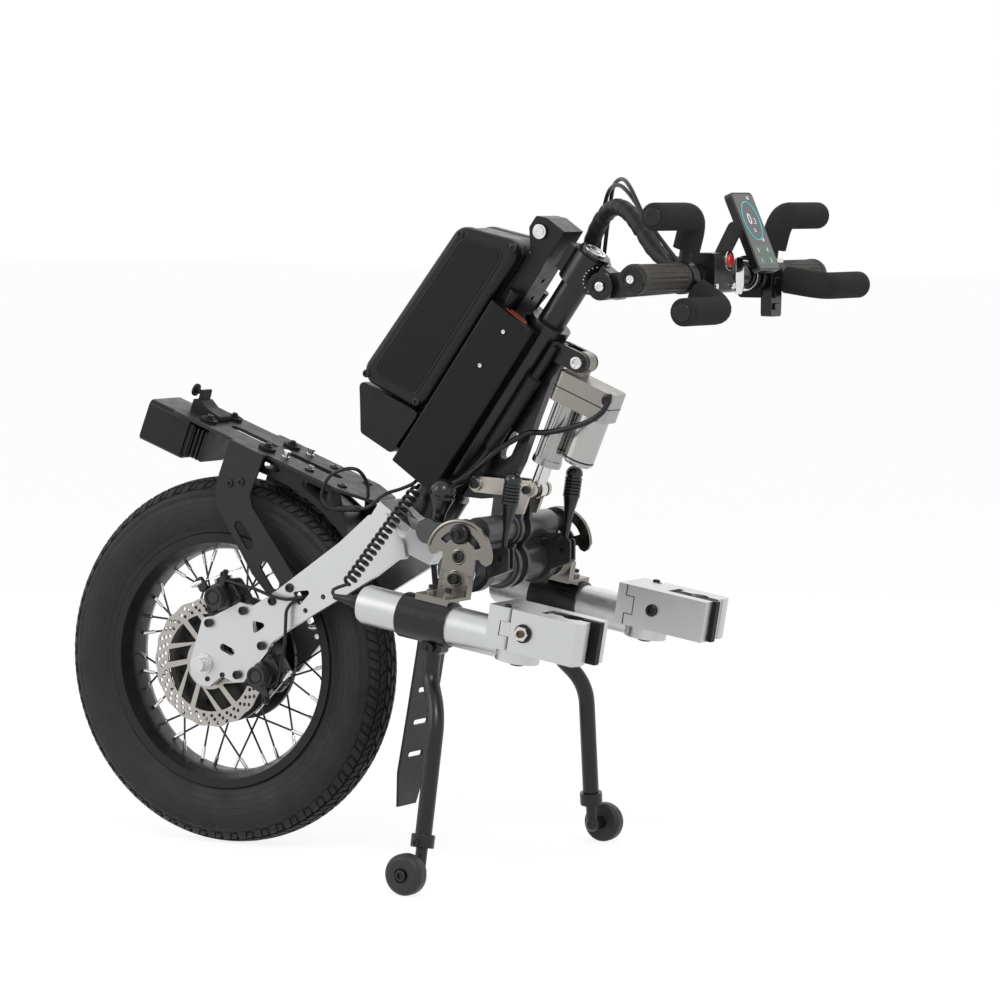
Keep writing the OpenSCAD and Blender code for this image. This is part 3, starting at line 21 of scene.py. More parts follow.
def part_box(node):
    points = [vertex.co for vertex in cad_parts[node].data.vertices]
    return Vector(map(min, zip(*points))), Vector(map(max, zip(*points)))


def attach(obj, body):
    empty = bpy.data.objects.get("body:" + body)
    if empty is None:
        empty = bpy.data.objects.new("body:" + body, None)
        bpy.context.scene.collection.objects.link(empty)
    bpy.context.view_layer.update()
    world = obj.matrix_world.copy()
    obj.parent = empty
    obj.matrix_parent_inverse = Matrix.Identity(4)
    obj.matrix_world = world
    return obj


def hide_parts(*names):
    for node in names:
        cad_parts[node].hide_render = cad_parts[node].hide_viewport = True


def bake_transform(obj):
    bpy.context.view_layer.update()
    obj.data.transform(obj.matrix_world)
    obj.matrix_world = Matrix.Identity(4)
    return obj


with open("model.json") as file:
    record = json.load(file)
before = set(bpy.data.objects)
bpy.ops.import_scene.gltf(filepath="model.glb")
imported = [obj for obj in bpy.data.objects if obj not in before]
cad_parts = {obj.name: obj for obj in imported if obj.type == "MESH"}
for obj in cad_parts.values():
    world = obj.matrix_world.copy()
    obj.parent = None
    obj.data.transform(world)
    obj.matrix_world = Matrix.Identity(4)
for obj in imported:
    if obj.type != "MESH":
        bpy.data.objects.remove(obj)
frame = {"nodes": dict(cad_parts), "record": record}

LOG = logging.getLogger("power_assist")
Point = Sequence[float]
Pair = tuple[float, float]
Colour = tuple[float, float, float]
Obj = bpy.types.Object

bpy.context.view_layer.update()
BODY_OF = {node: body for body, nodes in frame["record"]["behaviour"]["bodies"].items() for node in nodes}

# Shared places in millimetres, directions and limits
ORIGIN_X = 266.25
AXLE_Z = 228.5
TO_AXLE = (-ORIGIN_X / 1000, 0, -AXLE_Z / 1000)
HEAD_ANGLE = math.radians(55.4)
FORK_OFFSET = 122.4
CLAMP_TILT = math.radians(9)
PLATE_PIVOT = (-392.0, 156.0)
BAR_SIDE = (-676.0, 489.5)
STEM_PIVOT = (-39.0, 688.0)
ACTUATOR_PIN = (-489.0, 383.5)
CLAMP_TUBE = (163.0, -74.3)
JAW_BOLT = (-137.0, -56.3)
SIDES = ((1, "left"), (-1, "right"))
SAME_WAY = 0.99
NEAR_UP = 0.98
WELD = 2e-6
NEARLY_FLAT = math.radians(0.4)
LEFT = Vector((0, 1, 0))
UP = Vector((0, 0, 1))
BACK = Vector((-1, 0, 0))


def spot(x: float, y: float, z: float) -> Vector:
    """Turn millimetres forwards, to the left and up from the axle into a point of the scene."""
    return Vector((ORIGIN_X + x, y, AXLE_Z + z)) / 1000


def column_spot(t: float, y: float, s: float) -> Vector:
    """Give a point in the steering column's own directions.

    Args:
        t: Millimetres ahead of the column's centre line.
        y: Millimetres to the left.
        s: Millimetres up along the column.

    Returns:
        The point in metres.
    """
    ahead, along = math.sin(HEAD_ANGLE), math.cos(HEAD_ANGLE)
    return spot((t - FORK_OFFSET) * ahead - s * along, y, (t - FORK_OFFSET) * along + s * ahead)


def tilted(origin: Pair, tilt: float, x: float, y: float, z: float) -> Vector:
    """Give a point in a frame that is tilted about the y axis.

    Args:
        origin: The frame's place in side view.
        tilt: Its tilt in radians.
        x: Millimetres ahead.
        y: Millimetres to the left.
        z: Millimetres up.

    Returns:
        The point in metres.
    """
    c, s = math.cos(tilt), math.sin(tilt)
    return spot(origin[0] + x * c - z * s, y, origin[1] + x * s + z * c)


def clamp_spot(x: float, y: float, z: float, side: int = 1) -> Vector:
    """Give a point of the left (1) or right (-1) clamp, from its plate's pivot: ahead, outwards and up."""
    return tilted(PLATE_PIVOT, CLAMP_TILT, x, side * y, z)


COLUMN_UP = (column_spot(0, 0, 1) - column_spot(0, 0, 0)).normalized()
COLUMN_AHEAD = (column_spot(1, 0, 0) - column_spot(0, 0, 0)).normalized()
CLAMP_AHEAD = (clamp_spot(1, 0, 0) - clamp_spot(0, 0, 0)).normalized()
CLAMP_UP = (clamp_spot(0, 0, 1) - clamp_spot(0, 0, 0)).normalized()


def arc(radius: float, degrees: Sequence[float]) -> list[Pair]:
    """Return points of a circle about the origin."""
    return [(radius * math.cos(math.radians(a)), radius * math.sin(math.radians(a))) for a in degrees]


def bend(a: Vector, corner: Vector, b: Vector, steps: int) -> list[Vector]:
    """Return a curve from a to b that is drawn towards a corner."""
    return [a * (1 - u) ** 2 + corner * 2 * u * (1 - u) + b * u ** 2 for u in (k / steps for k in range(steps + 1))]


def smooth_path(points: Sequence[Point], steps: int, place: Callable[..., Vector] = spot) -> list[Vector]:
    """Run one smooth line through given points.

    Args:
        points: The points in millimetres.
        steps: Short runs between two points.
        place: Turns millimetres into a point of the scene.

    Returns:
        The line's points in metres.
    """
    p = [Vector(q) for q in points]
    last = len(p) - 1
    line = []
    for i in range(last):
        a, b, c, d = p[max(i - 1, 0)], p[i], p[i + 1], p[min(i + 2, last)]
        for k in range(steps):
            u = k / steps
            line.append(0.5 * (2 * b + (c - a) * u + (2 * a - 5 * b + 4 * c - d) * u * u
                               + (3 * b - a - 3 * c + d) * u ** 3))
    return [place(*q) for q in [*line, p[last]]]


def length_of(line: Sequence[Vector]) -> float:
    """Return the length of a line of points."""
    return sum((b - a).length for a, b in zip(line, line[1:]))


def facing(direction: Vector, up: Vector = UP) -> Matrix:
    """Return a turn that takes the z axis to a direction, with y near up."""
    z = direction.normalized()
    if abs(z.dot(up)) > NEAR_UP:
        up = Vector((1, 0, 0))
    x = up.cross(z).normalized()
    return Matrix((x, z.cross(x), z)).transposed().to_4x4()


# Modelling by hand


def clear_selection() -> None:
    """Leave edit mode and deselect every object."""
    if bpy.context.mode != "OBJECT":
        bpy.ops.object.mode_set(mode="OBJECT")
    bpy.ops.object.select_all(action="DESELECT")


def pick(obj: Obj) -> Obj:
    """Select one object alone and make it active."""
    clear_selection()
    obj.select_set(True)
    bpy.context.view_layer.objects.active = obj
    return obj


def rest_in_place(obj: Obj) -> Obj:
    """Put an object's place into its mesh."""
    pick(obj)
    bpy.ops.object.transform_apply(location=True, rotation=True, scale=True)
    return obj


@contextmanager
def whole_mesh(obj: Obj) -> Iterator[None]:
    """Work on a piece in edit mode with all of it selected, and leave edit mode afterwards."""
    pick(obj)
    bpy.ops.object.mode_set(mode="EDIT")
    bpy.ops.mesh.select_all(action="SELECT")
    yield
    bpy.ops.object.mode_set(mode="OBJECT")


def link_new(name: str, data: bpy.types.ID) -> Obj:
    """Add an object with the given data to the scene."""
    obj = bpy.data.objects.new(name, data)
    bpy.context.scene.collection.objects.link(obj)
    return obj


def settle(obj: Obj, name: str) -> Obj:
    """Put an object's place into its mesh and name both."""
    rest_in_place(obj)
    obj.name = obj.data.name = name
    return obj


def join(pieces: Sequence[Obj], name: str) -> Obj:
    """Join several meshes into one piece at the origin, of which the first one stays."""
    for obj in pieces:
        rest_in_place(obj)
    clear_selection()
    for obj in pieces:
        obj.select_set(True)
    bpy.context.view_layer.objects.active = pieces[0]
    if len(pieces) > 1:
        bpy.ops.object.join()
    return settle(bpy.context.view_layer.objects.active, name)


def modify(obj: Obj, kind: str, **values: object) -> Obj:
    """Apply one modifier, with its settings, to a piece."""
    modifier = obj.modifiers.new(kind.lower(), kind)
    for key, value in values.items():
        setattr(modifier, key, value)
    pick(obj)
    bpy.ops.object.modifier_apply(modifier=modifier.name)
    return obj


def shade(obj: Obj, angle: float) -> None:
    """Shade a piece smooth, except over edges sharper than an angle in degrees."""
    pick(obj)
    bpy.ops.object.shade_smooth_by_angle(angle=math.radians(angle))
    modify(obj, "WEIGHTED_NORMAL", keep_sharp=True)


def round_edges(obj: Obj, width: float, segments: int = 2, angle: float = 30) -> Obj:
    """Round a piece's sharp edges.

    Args:
        obj: The piece.
        width: Width of the rounding in metres.
        segments: Faces across it.
        angle: Least angle of an edge that is rounded, in degrees.

    Returns:
        The same piece.
    """
    return modify(obj, "BEVEL", width=width, segments=segments, limit_method="ANGLE",
                  angle_limit=math.radians(angle), miter_outer="MITER_ARC")


def copied(obj: Obj, turn: Matrix) -> Obj:
    """Return a copy of a mesh with its own data, moved by a matrix."""
    twin = link_new(obj.name, obj.data.copy())
    twin.matrix_world = turn @ obj.matrix_world
    return twin


def discard(obj: Obj) -> None:
    """Remove a piece that was only copied or cut with."""
    bpy.data.objects.remove(obj, do_unlink=True)


def cylinder(base: Vector, axis: Vector, length: float, radius: float, sides: int = 32) -> Obj:
    """Add a cylinder that stands on a point.

    Args:
        base: Centre of its lower face.
        axis: Direction that it stands in.
        length: Its height.
        radius: Its radius.
        sides: Number of flats round it.

    Returns:
        The new object.
    """
    clear_selection()
    bpy.ops.mesh.primitive_cylinder_add(vertices=sides, radius=radius, depth=length)
    obj = bpy.context.object
    obj.matrix_world = Matrix.Translation(base + axis.normalized() * length / 2) @ facing(axis)
    return obj


def open_ring(centre: Vector, axis: Vector, length: float, radius: float, wall: float, sides: int) -> Obj:
    """Make a short pipe with rounded edges.

    Args:
        centre: Its middle.
        axis: Direction that it lies in.
        length: Its length.
        radius: Its outer radius.
        wall: Thickness of its wall.
        sides: Number of flats round it.

    Returns:
        The new object.
    """
    clear_selection()
    bpy.ops.mesh.primitive_cylinder_add(vertices=sides, radius=radius, depth=length, end_fill_type="NOTHING")
    obj = bpy.context.object
    obj.matrix_world = Matrix.Translation(centre) @ facing(axis)
    return round_edges(modify(rest_in_place(obj), "SOLIDIFY", thickness=wall, offset=-1), 0.0008)


def press(obj: Obj, axis: Vector, *steps: Pair) -> Obj:
    """Sink or raise the faces that look along an axis.

    Args:
        obj: The piece.
        axis: The way that the faces look.
        steps: Width of each inset, and how far its inside is then pushed along the axis.

    Returns:
        The same piece.
    """
    way = axis.normalized()
    rest_in_place(obj)
    bpy.ops.object.mode_set(mode="EDIT")
    bpy.ops.mesh.select_mode(type="FACE")
    bpy.ops.mesh.select_all(action="DESELECT")
    bpy.ops.object.mode_set(mode="OBJECT")
    for face in obj.data.polygons:
        face.select = face.normal.dot(way) > SAME_WAY
    bpy.ops.object.mode_set(mode="EDIT")
    for inset, push in steps:
        bpy.ops.mesh.inset(thickness=inset)
        if push:
            bpy.ops.mesh.extrude_region_move(TRANSFORM_OT_translate={"value": way * push})
    bpy.ops.object.mode_set(mode="OBJECT")
    return obj


def loop_of(points: Sequence[Vector], fill: str = "NOTHING") -> Obj:
    """Lay a circle's vertices on the points of an outline."""
    clear_selection()
    bpy.ops.mesh.primitive_circle_add(vertices=len(points), radius=0.01, fill_type=fill)
    obj = bpy.context.object
    for vertex, place in zip(obj.data.vertices, points):
        vertex.co = place
    return obj


def outline_solid(points: Sequence[Vector], push: Vector) -> Obj:
    """Make a closed solid by extruding a flat outline."""
    obj = loop_of(points, "NGON")
    with whole_mesh(obj):
        bpy.ops.mesh.extrude_region_move(TRANSFORM_OT_translate={"value": push})
        bpy.ops.mesh.select_all(action="SELECT")
        bpy.ops.mesh.normals_make_consistent(inside=False)
    return obj


def rounded_outline(points: Sequence[Pair], radius: float, steps: int = 6) -> list[Pair]:
    """Round the corners of a flat outline.

    Args:
        points: Corners in order.
        radius: Radius of each corner.
        steps: Short runs in each corner.

    Returns:
        The rounded outline's points.
    """
    out = []
    n = len(points)
    for i in range(n):
        a, p, b = (Vector(points[(i + k) % n]) for k in (-1, 0, 1))
        u, v = (a - p).normalized(), (b - p).normalized()
        half = u.angle(v) / 2
        centre = p + (u + v).normalized() * radius / math.sin(half)
        s0, s1 = p + u * radius / math.tan(half) - centre, p + v * radius / math.tan(half) - centre
        a0 = math.atan2(s0.y, s0.x)
        turn = (math.atan2(s1.y, s1.x) - a0 + 3 * math.pi) % (2 * math.pi) - math.pi
        angles = [a0 + turn * k / steps for k in range(steps + 1)]
        out += [(centre.x + radius * math.cos(angle), centre.y + radius * math.sin(angle)) for angle in angles]
    return out


def tube_mesh(name: str, line: Sequence[Vector], diameter: float, radii: Sequence[float] | None = None,
              sides: int = 3) -> Obj:
    """Make a round tube along a line, as a smooth closed mesh.

    Args:
        name: The piece's name.
        line: Its centre line.
        diameter: Its outer diameter.
        radii: Share of the radius at each point, for ribs and tapers.
        sides: Bevel resolution of the round section.

    Returns:
        The tube.
    """
    data = bpy.data.curves.new(name, "CURVE")
    data.dimensions = "3D"
    data.bevel_depth = diameter / 2
    data.bevel_resolution = sides
    data.use_fill_caps = True
    data.twist_mode = "MINIMUM"
    spline = data.splines.new("POLY")
    spline.points.add(len(line) - 1)
    for i, point in enumerate(line):
        spline.points[i].co = (*point, 1)
        spline.points[i].radius = radii[i] if radii else 1
    obj = pick(link_new(name, data))
    bpy.ops.object.convert(target="MESH")
    with whole_mesh(obj):
        bpy.ops.mesh.remove_doubles(threshold=1e-6)
        bpy.ops.mesh.normals_make_consistent(inside=False)
    bpy.ops.object.shade_smooth_by_angle(angle=math.radians(50))
    return obj


def cut_away(obj: Obj, cutters: Sequence[Obj]) -> Obj:
    """Cut solids out of a piece and delete them."""
    for cutter in cutters:
        modify(obj, "BOOLEAN", operation="DIFFERENCE", solver="EXACT", object=cutter)
    for cutter in cutters:
        discard(cutter)
    return obj


def dress(obj: Obj, finish: Finish) -> Obj:
    """Give a piece one finish in place of all others."""
    obj.data.materials.clear()
    obj.data.materials.append(finish.material())
    return obj


def repaint(obj: Obj, finish: Finish, test: Callable[[Vector], bool]) -> None:
    """Give the faces of a dressed piece whose centres pass a test a second finish."""
    obj.data.materials.append(finish.material())
    for face in obj.data.polygons:
        if test(face.center):
            face.material_index = len(obj.data.materials) - 1


def fit(obj: Obj, finish: Finish, body: str, nodes: Sequence[str] = (), angle: float = 32) -> Obj:
    """Shade and dress a finished piece, and let it ride on a body of the frame.

    Args:
        obj: The piece.
        finish: Its finish.
        body: The body that carries it.
        nodes: CAD nodes that it stands for.
        angle: Edges sharper than this stay sharp, in degrees; 0 keeps the shading that it has.

    Returns:
        The same piece.
    """
    if angle:
        shade(obj, angle)
    dress(obj, finish)
    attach(obj, body)
    if nodes:
        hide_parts(*nodes)
    LOG.info("%s rides on %s", obj.name, body)
    return obj


def softened(node: str, finish: Finish, width: float = 0.0006, angle: float = 30) -> Obj:
    """Stand a copy of a CAD node with softly broken edges in the node's place.

    Args:
        node: The node's name.
        finish: The finish that it gets.
        width: Width of the broken edges, 0 for none.
        angle: Least angle of an edge that is broken and shaded sharp, in degrees.

    Returns:
        The piece that stands for the node.
    """
    obj = link_new(node + "_piece", frame["nodes"][node].data.copy())
    pick(obj)
    bpy.ops.mesh.customdata_custom_splitnormals_clear()
    with whole_mesh(obj):
        bpy.ops.mesh.remove_doubles(threshold=WELD)
        bpy.ops.mesh.dissolve_limited(angle_limit=NEARLY_FLAT, delimit={"NORMAL"})
    if width:
        round_edges(obj, width, 2, angle)
    obj.data.name = obj.name
    return fit(obj, finish, BODY_OF[node], [node], angle)


# Finishes


def wire(tree: bpy.types.NodeTree, nodes: dict[str, tuple[str, dict]], links: str) -> None:
    """Add nodes to a tree and link them.

    Args:
        tree: The nodes of a material, a world or a shared effect.
        nodes: Each node's kind, or the effect that it stands for, with its settings and input values.
        links: Pairs of sockets, such as "noise.Fac tint.Value", with _ for a space and numbers for places.
    """

    def socket(text: str, kind: str) -> bpy.types.NodeSocket:
        """Find an input or output from its node's name and its own."""
        node, label = text.replace("_", " ").split(".")
        return getattr(tree.nodes[node], kind)[int(label) if label.isdigit() else label]

    for name, (kind, values) in nodes.items():
        node = tree.nodes.new("ShaderNodeGroup" if kind in EFFECTS else "ShaderNode" + kind)
        node.name = name
        if kind in EFFECTS:
            node.node_tree = EFFECTS[kind].tree(kind)
        for key, value in values.items():
            if isinstance(key, str) and key.islower():
                setattr(node, key, value)
            else:
                node.inputs[key].default_value = value
    for pair in links.split(","):
        start, end = pair.split()
        tree.links.new(socket(start, "outputs"), socket(end, "inputs"))


@dataclass(frozen=True)
class Effect:
    """A shader effect that several finishes share as one node group."""

    inputs: dict[str, tuple[str, object]]
    outputs: dict[str, str]
    nodes: dict[str, tuple[str, dict]]
    links: str

    def tree(self, name: str) -> bpy.types.NodeTree:
        """Return the effect's group, built at its first use under the given name."""
        if name in bpy.data.node_groups:
            return bpy.data.node_groups[name]
        tree = bpy.data.node_groups.new(name, "ShaderNodeTree")
        for label, (kind, default) in self.inputs.items():
            socket = tree.interface.new_socket(label, in_out="INPUT", socket_type="NodeSocket" + kind)
            socket.default_value = default
        for label, kind in self.outputs.items():
            tree.interface.new_socket(label, in_out="OUTPUT", socket_type="NodeSocket" + kind)
        tree.nodes.new("NodeGroupInput").name = "in"
        tree.nodes.new("NodeGroupOutput").name = "out"
        wire(tree, self.nodes, self.links)
        return tree


# Soft clouds of brightness; powder coat, blasted metal and moulded grain; closed foam; faint rubbed lines
EFFECTS = {
    "cloudy_tint": Effect(
        {"Colour": ("Color", (1, 1, 1, 1)), "Scale": ("Float", 12.0), "Shift": ("Float", 0.1)}, {"Colour": "Color"},
        {"place": ("TexCoord", {}), "noise": ("TexNoise", {"Detail": 4}),
         "low": ("Math", {"operation": "SUBTRACT", 1: 0.5}), "span": ("Math", {"operation": "MULTIPLY_ADD", 2: 1}),
         "tint": ("HueSaturation", {})},
        "place.Object noise.Vector, in.Scale noise.Scale, noise.Fac low.0, low.0 span.0, in.Shift span.1, "
        "span.0 tint.Value, in.Colour tint.Color, tint.Color out.Colour"),
    "fine_grain": Effect(
        {"Scale": ("Float", 900.0), "Stretch": ("Vector", (1, 1, 1))}, {"Height": "Float", "Speck": "Float"},
        {"place": ("TexCoord", {}), "stretch": ("Mapping", {}), "noise": ("TexNoise", {"Detail": 3, "Roughness": 0.6}),
         "wide": ("TexNoise", {}), "share": ("Math", {"operation": "MULTIPLY", 1: 0.06})},
        "place.Object stretch.Vector, in.Stretch stretch.Scale, stretch.Vector noise.Vector, in.Scale noise.Scale, "
        "in.Scale share.0, share.0 wide.Scale, place.Object wide.Vector, noise.Fac out.Height, wide.Fac out.Speck"),
    "foam_cells": Effect(
        {"Scale": ("Float", 700.0)}, {"Height": "Float", "Speck": "Float"},
        {"place": ("TexCoord", {}), "cells": ("TexVoronoi", {}), "soft": ("TexNoise", {"Scale": 160, "Detail": 5}),
         "both": ("Math", {"operation": "ADD"})},
        "place.Object cells.Vector, place.Object soft.Vector, in.Scale cells.Scale, cells.Distance both.0, "
        "soft.Fac both.1, both.0 out.Height, soft.Fac out.Speck"),
    "handling_marks": Effect(
        {"Scale": ("Float", 40.0), "Amount": ("Float", 0.2)}, {"Mask": "Float"},
        {"place": ("TexCoord", {}), "turn": ("Mapping", {"Rotation": (0.5, 0.3, 0.8), "Scale": (1, 9, 9)}),
         "lines": ("TexNoise", {"Detail": 6}), "cut": ("MapRange", {"From Min": 0.62, "From Max": 0.74}),
         "scaled": ("Math", {"operation": "MULTIPLY"})},
        "place.Object turn.Vector, turn.Vector lines.Vector, in.Scale lines.Scale, lines.Fac cut.Value, "
        "cut.Result scaled.0, in.Amount scaled.1, scaled.0 out.Mask"),
}
MADE: dict[str, bpy.types.Material] = {}


@dataclass(frozen=True)
class Finish:
    """One surface finish with its colour, gloss and fine structure."""

    name: str
    colour: Colour
    rough: float = 0.5
    spread: float = 0.12
    metallic: float = 0.0
    scale: float = 900.0
    depth: float = 0.00008
    shift: float = 0.12
    cloud: float = 14.0
    marks: float = 0.12
    mark_colour: Colour = (0.3, 0.3, 0.3)
    stretch: tuple[float, float, float] = (1, 1, 1)
    coat: float = 0.0
    specular: float = 0.5
    foam: bool = False
    glow: float = 0.0
    clear: float = 0.0

    def material(self) -> bpy.types.Material:
        """Return the finish's material, built at its first use."""
        if self.name not in MADE:
            MADE[self.name] = self.build()
        return MADE[self.name]

    def build(self) -> bpy.types.Material:
        """Build the node tree of this finish.

        Returns:
            A new material.
        """
        material = bpy.data.materials.new(self.name)
        material.use_nodes = True
        values = {"Metallic": self.metallic, "Coat Weight": self.coat, "Coat Roughness": 0.08,
                  "Specular IOR Level": self.specular}
        if self.glow:
            values |= {"Emission Color": (*self.colour, 1), "Emission Strength": self.glow}
        if self.clear:
            values |= {"Transmission Weight": self.clear, "IOR": 1.45}
        for label, value in values.items():
            material.node_tree.nodes["Principled BSDF"].inputs[label].default_value = value
        grain = {"Scale": self.scale} if self.foam else {"Scale": self.scale, "Stretch": self.stretch}
        low, high = max(0.02, self.rough - self.spread / 2), min(1.0, self.rough + self.spread / 2)
        wire(material.node_tree, {
            "tint": ("cloudy_tint", {"Colour": (*self.colour, 1), "Scale": self.cloud, "Shift": self.shift}),
            "marks": ("handling_marks", {"Amount": self.marks}),
            "grain": ("foam_cells" if self.foam else "fine_grain", grain),
            "worn": ("Mix", {"data_type": "RGBA", "B": (*self.mark_colour, 1)}),
            "gloss": ("MapRange", {"From Min": 0.3, "From Max": 0.7, "To Min": low, "To Max": high})},
            "marks.Mask worn.Factor, tint.Colour worn.A, worn.Result Principled_BSDF.Base_Color, "
            "grain.Speck gloss.Value, gloss.Result Principled_BSDF.Roughness")
        if self.depth:
            wire(material.node_tree, {"bump": ("Bump", {"Strength": 0.6, "Distance": self.depth})},
                 "grain.Height bump.Height, bump.Normal Principled_BSDF.Normal")
        return material


@dataclass(frozen=True)
class SpokeFinish(Finish):
    """Black spokes whose outer ends are plated nipples."""

    nipple_from: float = 0.1235

    def build(self) -> bpy.types.Material:
        """Build the black finish and turn it silver past a radius from the axle."""
        material = super().build()
        wire(material.node_tree, {
            "place": ("TexCoord", {}), "centre": ("Mapping", {"Location": TO_AXLE}),
            "flat": ("VectorMath", {"operation": "MULTIPLY", 1: (1, 0, 1)}),
            "far": ("VectorMath", {"operation": "LENGTH"}),
            "step": ("Math", {"operation": "GREATER_THAN", 1: self.nipple_from}),
            "silver": ("Mix", {"data_type": "RGBA", "B": (0.72, 0.71, 0.69, 1)})},
            "place.Object centre.Vector, centre.Vector flat.0, flat.Vector far.0, far.Value step.0, "
            "step.0 silver.Factor, worn.Result silver.A, silver.Result Principled_BSDF.Base_Color, "
            "step.0 Principled_BSDF.Metallic")
        return material


@dataclass(frozen=True)
class TyreFinish(Finish):
    """Tyre rubber with moulded rings and a knurled band on the sidewall."""

    band: Pair = (0.2035, 0.2085)
    knurls: int = 420
    slant: float = 900.0
    rings: float = 420.0
    ring_edge: float = 24.0
    ring_height: float = 0.7

    def build(self) -> bpy.types.Material:
        """Build the rubber and raise its rings and knurls.

        Returns:
            A new material.
        """
        material = super().build()
        sums = {name: ("Math", {"operation": kind}) for name, kind in (
            ("xx", "MULTIPLY"), ("zz", "MULTIPLY"), ("square", "ADD"), ("radius", "SQRT"), ("angle", "ARCTAN2"),
            ("phase", "ADD"), ("knurl", "SINE"), ("inside", "MULTIPLY"), ("swing", "SINE"), ("size", "ABSOLUTE"),
            ("raised", "MULTIPLY"), ("height", "ADD"))}
        sums |= {name: ("Math", {"operation": kind, 1: value}) for name, kind, value in (
            ("slant", "MULTIPLY", self.slant), ("turns", "MULTIPLY", float(self.knurls)),
            ("wave", "MULTIPLY", self.rings), ("over", "GREATER_THAN", self.band[0]),
            ("under", "LESS_THAN", self.band[1]), ("ring", "POWER", self.ring_edge),
            ("faint", "MULTIPLY", self.ring_height))}
        wire(material.node_tree, {
            "place": ("TexCoord", {}), "centre": ("Mapping", {"Location": TO_AXLE}), "parts": ("SeparateXYZ", {}),
            **sums, "relief": ("Bump", {"Strength": 0.9, "Distance": 0.0006})},
            "place.Object centre.Vector, centre.Vector parts.Vector, parts.X xx.0, parts.X xx.1, parts.Z zz.0, "
            "parts.Z zz.1, xx.0 square.0, zz.0 square.1, square.0 radius.0, parts.Z angle.0, parts.X angle.1, "
            "radius.0 slant.0, angle.0 turns.0, turns.0 phase.0, slant.0 phase.1, phase.0 knurl.0, radius.0 over.0, "
            "radius.0 under.0, over.0 inside.0, under.0 inside.1, radius.0 wave.0, wave.0 swing.0, "
            "swing.0 size.0, size.0 ring.0, knurl.0 raised.0, inside.0 raised.1, ring.0 faint.0, "
            "raised.0 height.0, faint.0 height.1, height.0 relief.Height, bump.Normal relief.Normal, "
            "relief.Normal Principled_BSDF.Normal")
        return material


TYRE_RUBBER = TyreFinish("tyre_rubber", (0.026, 0.0258, 0.0255), 0.6, 0.2, scale=700, depth=0.00012, shift=0.4,
                         cloud=9, marks=0.2, mark_colour=(0.05, 0.049, 0.047), specular=0.25)
BLACK_ALLOY = Finish("black_alloy", (0.008, 0.008, 0.0085), 0.32, 0.14, scale=1100, depth=0.00004, marks=0.06,
                     mark_colour=(0.06, 0.06, 0.06), specular=0.3)
RIM_ALLOY = Finish("rim_alloy", (0.02, 0.02, 0.021), 0.34, 0.12, metallic=0.35, scale=1100, depth=0.00004,
                   marks=0.05, mark_colour=(0.08, 0.08, 0.08), specular=0.3)
CALIPER_BLACK = Finish("caliper_black", (0.012, 0.012, 0.013), 0.3, 0.14, scale=1100, depth=0.00006, marks=0.08,
                       mark_colour=(0.09, 0.09, 0.09))
LEVER_BLACK = Finish("lever_black", (0.007, 0.007, 0.0075), 0.22, 0.1, scale=1000, depth=0.00004, marks=0.05,
                     mark_colour=(0.06, 0.06, 0.06))
SPOKE_BLACK = SpokeFinish("spoke_black", (0.02, 0.02, 0.022), 0.3, 0.1, scale=1500, depth=0.00002)
DISC_STEEL = Finish("disc_steel", (0.42, 0.4, 0.375), 0.3, 0.1, 1.0, 900, 0.00003, 0.08, 30, 0.03, (0.3, 0.28, 0.25))
BOLT_STEEL = Finish("bolt_steel", (0.62, 0.62, 0.61), 0.22, 0.12, 1.0, scale=1500, depth=0.00002, shift=0.15)
DARK_BOLT = Finish("dark_bolt", (0.012, 0.012, 0.013), 0.26, 0.12, 0.3, scale=1500, depth=0.00003, marks=0.05,
                   mark_colour=(0.08, 0.08, 0.08))
SILVER_ALLOY = Finish("silver_alloy", (0.56, 0.565, 0.57), 0.36, 0.1, 1.0, 1800, 0.00006, 0.06, 9, 0.04,
                      (0.62, 0.62, 0.62))
SILVER_PAINT = Finish("silver_paint", (0.6, 0.605, 0.61), 0.38, 0.12, 0.85, 1600, 0.00006, 0.08, 7, 0.05,
                      (0.5, 0.5, 0.5))
POWDER_BLACK = Finish("powder_black", (0.007, 0.007, 0.0075), 0.28, 0.12, scale=1300, depth=0.0001, marks=0.05,
                      mark_colour=(0.05, 0.05, 0.05), specular=0.4)
RACK_BLACK = Finish("rack_black", (0.018, 0.018, 0.0185), 0.46, 0.14, scale=1200, depth=0.00012, marks=0.07,
                    mark_colour=(0.07, 0.07, 0.07), specular=0.3)
BLACK_PLASTIC = Finish("black_plastic", (0.007, 0.007, 0.0075), 0.36, 0.16, scale=1000, depth=0.0001, marks=0.05,
                       mark_colour=(0.05, 0.05, 0.05), specular=0.28)
GLOSS_BLACK = Finish("gloss_black", (0.006, 0.006, 0.0065), 0.16, 0.1, scale=600, depth=0.00001, marks=0.03,
                     mark_colour=(0.05, 0.05, 0.05), specular=0.4)
PANEL_BLACK = Finish("panel_black", (0.005, 0.005, 0.0055), 0.34, 0.08, scale=1400, depth=0.00003, marks=0.04,
                     mark_colour=(0.035, 0.035, 0.035), specular=0.22)
LENS = Finish("lens", (0.9, 0.93, 0.95), 0.06, 0.04, scale=300, depth=0.00004, marks=0.0, clear=0.92)
GRIP_RUBBER = Finish("grip_rubber", (0.07, 0.065, 0.058), 0.62, 0.2, scale=800, depth=0.00014, shift=0.35, cloud=40,
                     mark_colour=(0.13, 0.12, 0.105), specular=0.3)
FOAM = Finish("foam", (0.026, 0.0255, 0.0245), 0.9, 0.1, foam=True, scale=1100, depth=0.0004, shift=0.25, cloud=60,
              marks=0.15, mark_colour=(0.05, 0.049, 0.047), specular=0.2)
RED_PLASTIC = Finish("red_plastic", (0.62, 0.03, 0.022), 0.24, 0.1, scale=900, depth=0.00002, marks=0.1,
                     mark_colour=(0.72, 0.12, 0.1), coat=0.4)
